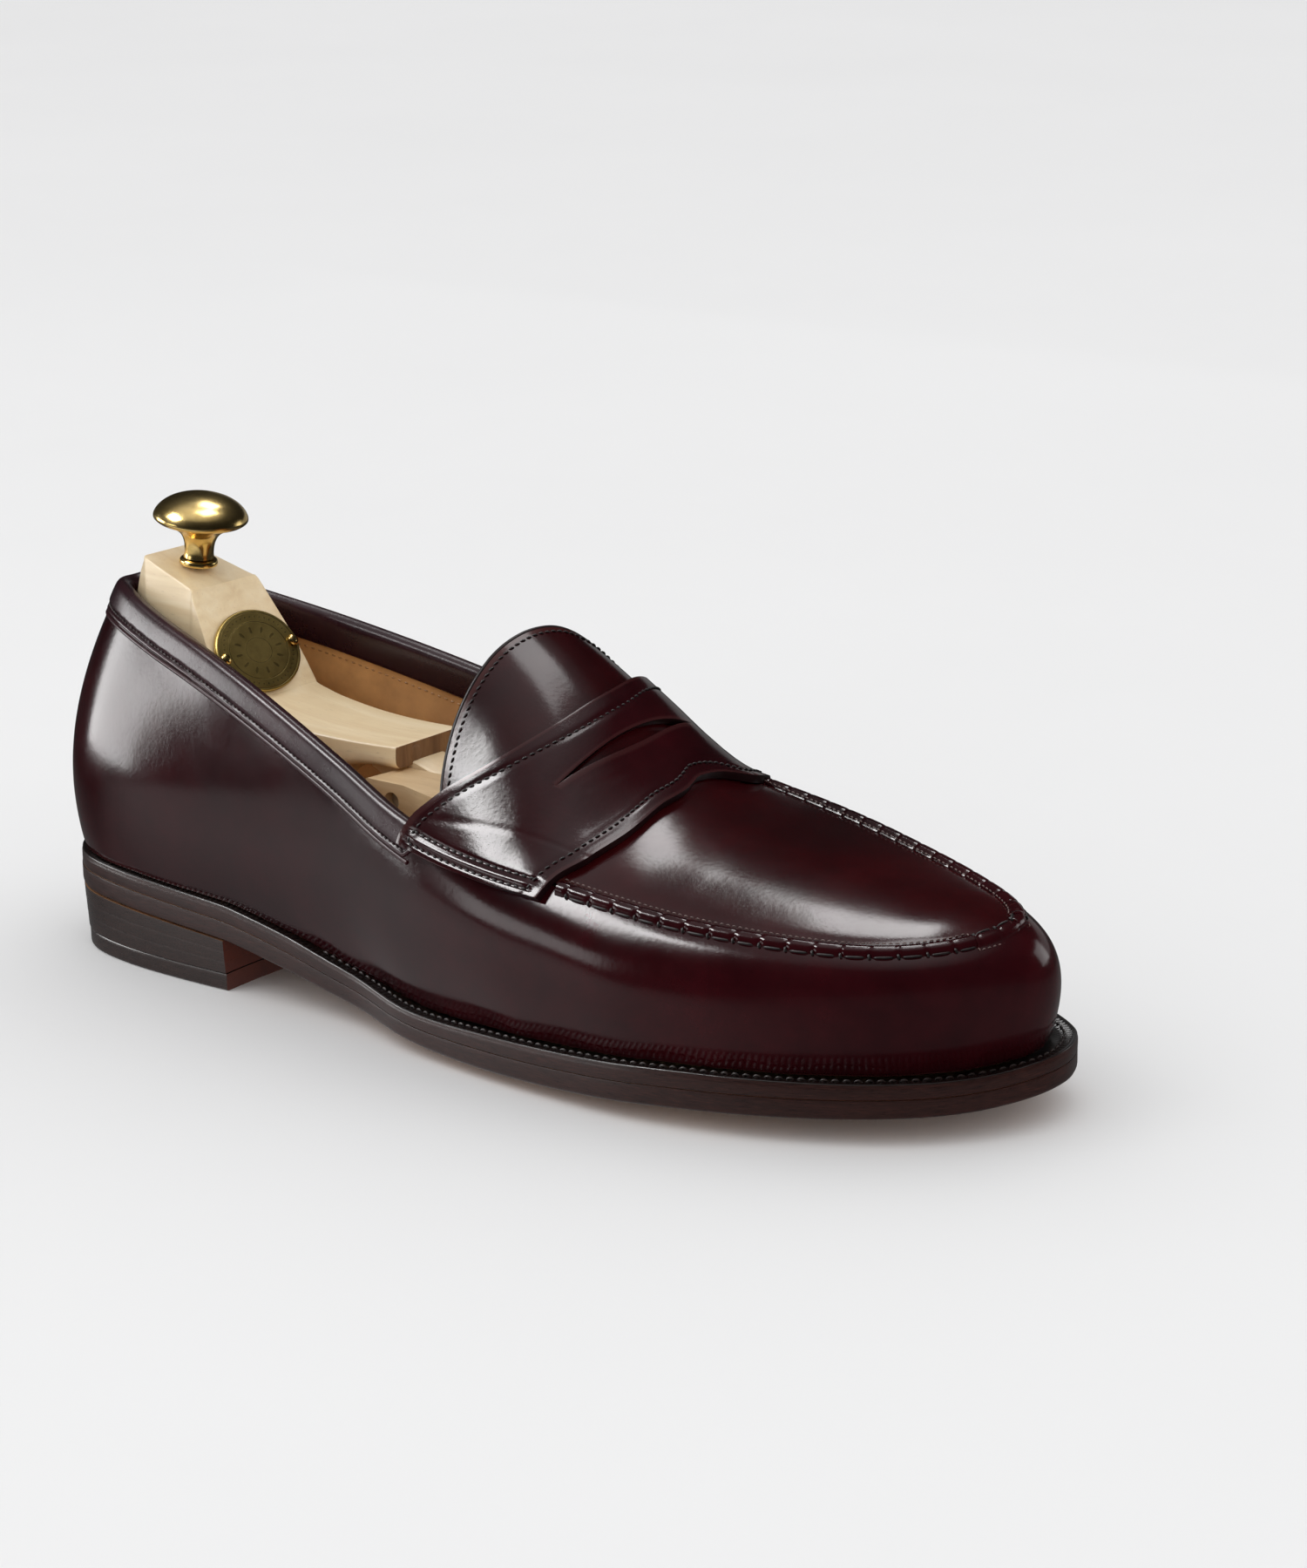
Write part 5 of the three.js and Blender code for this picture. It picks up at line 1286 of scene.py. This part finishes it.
KB, KA = (36.6, 0, 100.3), (0.125, 0, 1)
kn = list(spline([(3.95, 2.9), (3.8, 4.5), (4.05, 7), (5.1, 9.2), (7.2, 10.8), (9.6, 11.9), (11.3, 12.5)], 6)) + list(spline([(11.75, 12.8), (12.2, 13.25), (12.3, 13.7), (12.15, 14.4), (11.4, 15.7), (10.1, 17.0), (8.4, 18.1), (6.2, 19.0), (3.6, 19.65), (1.6, 19.87), (0.01, 19.9)], 6))
kn = [(0.01, 2.9), (4.0, 2.9)] + [tuple(p) for p in kn]
swap(lathe("tree_knob_brass", kn, KB, KA, M_BRASS), ["tree_knob"])
fr = [(3.05, 0.95), (4.7, 0.95), (4.9, 1.05), (5.0, 1.3), (4.97, 1.9), (4.85, 2.25), (4.6, 2.5), (4.35, 2.6), (3.3, 2.62), (3.05, 2.55)]
swap(lathe("tree_ferrule_brass", fr + [fr[0]], KB, KA, M_BRASS), ["tree_knob_ferrule"])

t_ = unit(np.array([14.9, 0, -25.3]))
n_ = unit(np.array([25.3, 0, 14.9]))
c_m = np.array([55.57, 0, 80.18]) + n_ * 0.5
NA_, radii = 160, []


def med_h(k, a):
    """Relief of the plate: rounded rim, an engraved border of two rings and a beaded ring between."""
    h = 1.10 - 0.25 * smooth(0.965, 1.0, k) ** 2 * 2
    h -= 0.07 * np.exp(-((k - 0.925) / 0.010) ** 2)
    h -= 0.06 * np.exp(-((k - 0.70) / 0.009) ** 2)
    bead = np.cos(a * 44) * 0.5 + 0.5
    h -= 0.07 * np.exp(-((k - 0.815) / 0.026) ** 2) * bead ** 3
    h -= 0.05 * np.exp(-((k - 0.30) / 0.012) ** 2)
    h -= 0.07 * np.exp(-((k - 0.50) / 0.09) ** 2) * (np.cos(a * 12) * 0.5 + 0.5) ** 6
    return h


ks = np.unique(np.concatenate([np.linspace(0.02, 0.98, 70), [0.70, 0.69, 0.71, 0.925, 0.915, 0.935, 0.985, 0.993, 1.0]]))
an = np.linspace(0, 2 * math.pi, 352, endpoint=False)
rg = []
rg.append([c_m + np.array([0, 1, 0]) * 14.2 * math.cos(a) + t_ * 10.9 * math.sin(a) for a in an])
rg.append([c_m + np.array([0, 1, 0]) * 14.6 * math.cos(a) + t_ * 11.2 * math.sin(a) + n_ * 0.1 for a in an])
rg.append([c_m + np.array([0, 1, 0]) * 14.6 * math.cos(a) + t_ * 11.2 * math.sin(a) + n_ * 0.72 for a in an])
for k in ks[::-1]:
    hh = med_h(np.full_like(an, k), an)
    rg.append([c_m + np.array([0, 1, 0]) * 14.6 * k * math.cos(a) + t_ * 11.2 * k * math.sin(a) + n_ * h for a, h in zip(an, hh)])
med = loft("tree_medallion_plate", rg, M_PLATE, body="tree_heel", smooth_angle=40)
med.data.materials.append(M_ENGRAVE)
cm = Vector(tuple(to_m(c_m)))
for p in med.data.polygons:
    d = p.center - cm
    y, tt2, h = d.y * 1000, float(np.dot(np.array(d) * 1000, t_)), float(np.dot(np.array(d) * 1000, n_))
    k = math.hypot(y / 14.6, tt2 / 11.2)
    a = math.atan2(tt2 / 11.2, y / 14.6)
    if h < float(med_h(np.array(1.0 * k), np.array(a))) + 1 and k < 0.96 and h < 1.10 - 0.03:
        p.material_index = 1
swap(med, ["tree_medallion"])
for s, nm in ((-1, "1"), (1, "2")):
    base = c_m + np.array([0, s * 12.6, 0])
    pr = [(0.7, 0.1), (0.7, 1.35)] + [tuple(p) for p in spline([(1.45, 1.4), (1.5, 1.6), (1.3, 1.95), (0.8, 2.2), (0.01, 2.3)], 5)]
    swap(lathe("medallion_nail_dome_" + nm, pr, base, n_, M_BRASS, seg=40), ["tree_medallion_nail_" + nm])

# ------------------------------------------------------------------ CAD nodes that stay: their finish
FIN = {"cork_filler": None, "shank": M_STEEL, "heel_counter": None, "toe_puff": None, "tree_hinge_pin": M_STEEL, "tree_knob_screw": M_STEEL,
       "heel_nail_1": M_NAIL, "heel_nail_2": M_NAIL, "heel_nail_3": M_NAIL, "heel_nail_4": M_NAIL}
M_CORK = leather("granulated_cork", dark=(0.17, 0.085, 0.035), mid=(0.30, 0.165, 0.075), lit=(0.40, 0.24, 0.12), r0=0.75, r1=0.9, coat=0, grain=0.3, pore=420)
M_FELT = leather("stiffener_board", dark=(0.36, 0.28, 0.19), mid=(0.46, 0.37, 0.26), lit=(0.54, 0.45, 0.33), r0=0.7, r1=0.85, coat=0, grain=0.1, pore=800)
FIN["cork_filler"], FIN["heel_counter"], FIN["toe_puff"] = M_CORK, M_FELT, M_FELT
for nme, mt in FIN.items():
    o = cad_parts[nme]
    for sl in o.material_slots:
        sl.material = mt

# ------------------------------------------------------------------ floor, light, camera
fl = bpy.data.meshes.new("floor")
nf = 24
gx = np.linspace(-6, 6, nf + 1)
fl.from_pydata([(x, y, 0.0) for x in gx for y in gx], [], grid_faces(nf, nf, 0))
fl.update()
flo = bpy.data.objects.new("floor", fl)
bpy.context.scene.collection.objects.link(flo)
m = Mat("floor_paper_painted_reflection", IOR=1.45, Specular_IOR_Level=0.25)
m.set("Base Color", m.ramp(m.noise(3, 2), [(0.2, (0.84, 0.84, 0.84)), (0.8, (0.86, 0.86, 0.86))]))
m.set("Roughness", m.mapr(m.noise(40, 2), 0, 1, 0.75, 0.9))
sepf = m.node("SeparateXYZ", {0: m.obj()})
ex, ey = m.math("DIVIDE", sepf.outputs[0], 0.25), m.math("DIVIDE", sepf.outputs[1], 0.15)
d2 = m.math("ADD", m.math("MULTIPLY", ex, ex), m.math("MULTIPLY", ey, ey))
# painted reflection: for glossy rays the floor glows, brighter in an ellipse round the shoe and dim beyond it
near = m.ramp(m.mapr(d2, 0.6, 2.2, 0, 1), [(0.0, (0.12, 0.117, 0.117)), (1.0, (0.03, 0.03, 0.03))])
# painted reflection: a bright elliptical patch to the front left, seen only in reflections, lays a pale band on the
# lower wall
xs0, ys0 = m.math("ADD", sepf.outputs[0], 0.30), m.math("ADD", sepf.outputs[1], 0.28)
pu = m.math("DIVIDE", m.math("ADD", m.math("MULTIPLY", xs0, -0.84), m.math("MULTIPLY", ys0, -0.54)), 0.42)
pv = m.math("DIVIDE", m.math("ADD", m.math("MULTIPLY", xs0, 0.54), m.math("MULTIPLY", ys0, -0.84)), 0.13)
d3 = m.math("ADD", m.math("MULTIPLY", pu, pu), m.math("MULTIPLY", pv, pv))
painted_reflection_patch = m.node("MapRange", {0: d3, 1: 0.25, 2: 1.5, 3: 0.7, 4: 0.0}, interpolation_type="SMOOTHSTEP").outputs[0]
painted_reflection_white = m.ramp(painted_reflection_patch, [(0.0, (1.0, 0.98, 0.98)), (1.0, (1.0, 0.985, 0.98))])
em0 = m.node("Emission", {"Color": near, "Strength": 1.0})
em1 = m.node("Emission", {"Color": painted_reflection_white, "Strength": painted_reflection_patch})
em = m.node("AddShader", {0: em0.outputs[0], 1: em1.outputs[0]})
# glossy rays see the painted reflection glow instead of the matt floor
lpf = m.node("LightPath")
mxf = m.node("MixShader", {0: lpf.outputs["Is Glossy Ray"], 1: m.b.outputs[0], 2: em.outputs[0]})
m.t.links.new(mxf.outputs[0], m.out.inputs[0])
fl.materials.append(m.m)

world = bpy.data.worlds.new("studio")
bpy.context.scene.world = world
world.use_nodes = True
if hasattr(world, "cycles"):
    world.cycles.sampling_method = "NONE"
wt = world.node_tree
wt.nodes.clear()
wo = wt.nodes.new("ShaderNodeOutputWorld")
bg = wt.nodes.new("ShaderNodeBackground")
tcw = wt.nodes.new("ShaderNodeTexCoord")
sep = wt.nodes.new("ShaderNodeSeparateXYZ")
rp = wt.nodes.new("ShaderNodeValToRGB")
wt.links.new(tcw.outputs["Generated"], sep.inputs[0])
wt.links.new(sep.outputs[2], rp.inputs[0])
e = rp.color_ramp.elements
e[0].position, e[0].color = 0.0, (0.012, 0.012, 0.012, 1)
e[1].position, e[1].color = 1.0, (0.9, 0.88, 0.89, 1)
for p, v in ((0.50, 0.015), (0.76, 0.05), (0.9, 0.45)):
    x = e.new(p)
    x.color = (v, v * 0.99, v, 1)
wt.links.new(rp.outputs[0], bg.inputs[0])
bg.inputs[1].default_value = 1.0
# the tent round the set: even light on matt surfaces, dark sides in gloss
tent = wt.nodes.new("ShaderNodeBackground")
tent.inputs[0].default_value = (0.98, 0.98, 0.985, 1)
lp = wt.nodes.new("ShaderNodeLightPath")
mx = wt.nodes.new("ShaderNodeMixShader")
wt.links.new(lp.outputs["Is Glossy Ray"], mx.inputs[0])
wt.links.new(tent.outputs[0], mx.inputs[1])
wt.links.new(bg.outputs[0], mx.inputs[2])
wt.links.new(mx.outputs[0], wo.inputs[0])


def area(name, loc, target, sx, sy, radiance, gloss_only=True, color=(1, 1, 1)):
    """Soft box of a given brightness; gloss_only boxes show in reflections and leave the matt light to the tent."""
    l = bpy.data.lights.new(name, "AREA")
    l.shape = "RECTANGLE"
    l.size, l.size_y = sx, sy
    l.energy = radiance * sx * sy * math.pi
    l.color = color
    o = bpy.data.objects.new(name, l)
    bpy.context.scene.collection.objects.link(o)
    o.location = loc
    d = Vector(target) - Vector(loc)
    o.rotation_euler = d.to_track_quat("-Z", "Y").to_euler()
    o.visible_camera = False
    if gloss_only:
        o.visible_diffuse = False
        o.visible_transmission = False
    else:
        o.visible_glossy = False
    return o


area("left_box", (-1.25, -0.50, 0.20), (-0.02, 0, 0.05), 0.55, 0.42, 9)
area("front_left_box", (-0.75, -1.10, 0.20), (0.0, 0, 0.05), 0.50, 0.30, 3)
area("high_left_box", (-0.70, -0.72, 1.10), (0.0, 0, 0.05), 0.55, 0.45, 24)
area("high_back_box", (-0.34, 0.64, 1.20), (0.0, 0, 0.05), 0.34, 0.30, 9)
area("overhead_box", (0.04, 0.25, 1.25), (0.04, 0, 0.05), 0.40, 0.50, 5)
area("low_back_card", (-0.20, 0.90, 0.12), (-0.20, 0, 0.12), 1.40, 0.22, 0.25)
area("low_back_right_card", (0.45, 0.85, 0.18), (0.12, 0, 0.05), 0.35, 0.32, 1.3)
area("shape_light", (-0.7, -0.9, 1.4), (0, 0, 0.03), 0.9, 0.9, 1.1, gloss_only=False)

cam_d = bpy.data.cameras.new("camera")
cam = bpy.data.objects.new("camera", cam_d)
bpy.context.scene.collection.objects.link(cam)
Cc = np.array([760.2258, -743.4676, 332.7743])
cr = unit(np.array([0.793272, 0.608688, -0.014774]))
cb = unit(np.array([0.588779, -0.760693, 0.273288]))
cu = np.cross(cb, cr)
Mx = Matrix(((cr[0], cu[0], cb[0]), (cr[1], cu[1], cb[1]), (cr[2], cu[2], cb[2]))).to_4x4()
Mx.translation = Vector(tuple(to_m(Cc)))
cam.matrix_world = Mx
cam_d.sensor_width = 36.0
cam_d.sensor_fit = "AUTO"
cam_d.lens = 4668.24 / 1800 * 36.0
cam_d.clip_start = 0.01
cam_d.clip_end = 60
bpy.context.scene.camera = cam
bpy.context.scene.view_settings.view_transform = "Standard"
bpy.context.scene.view_settings.look = "None"
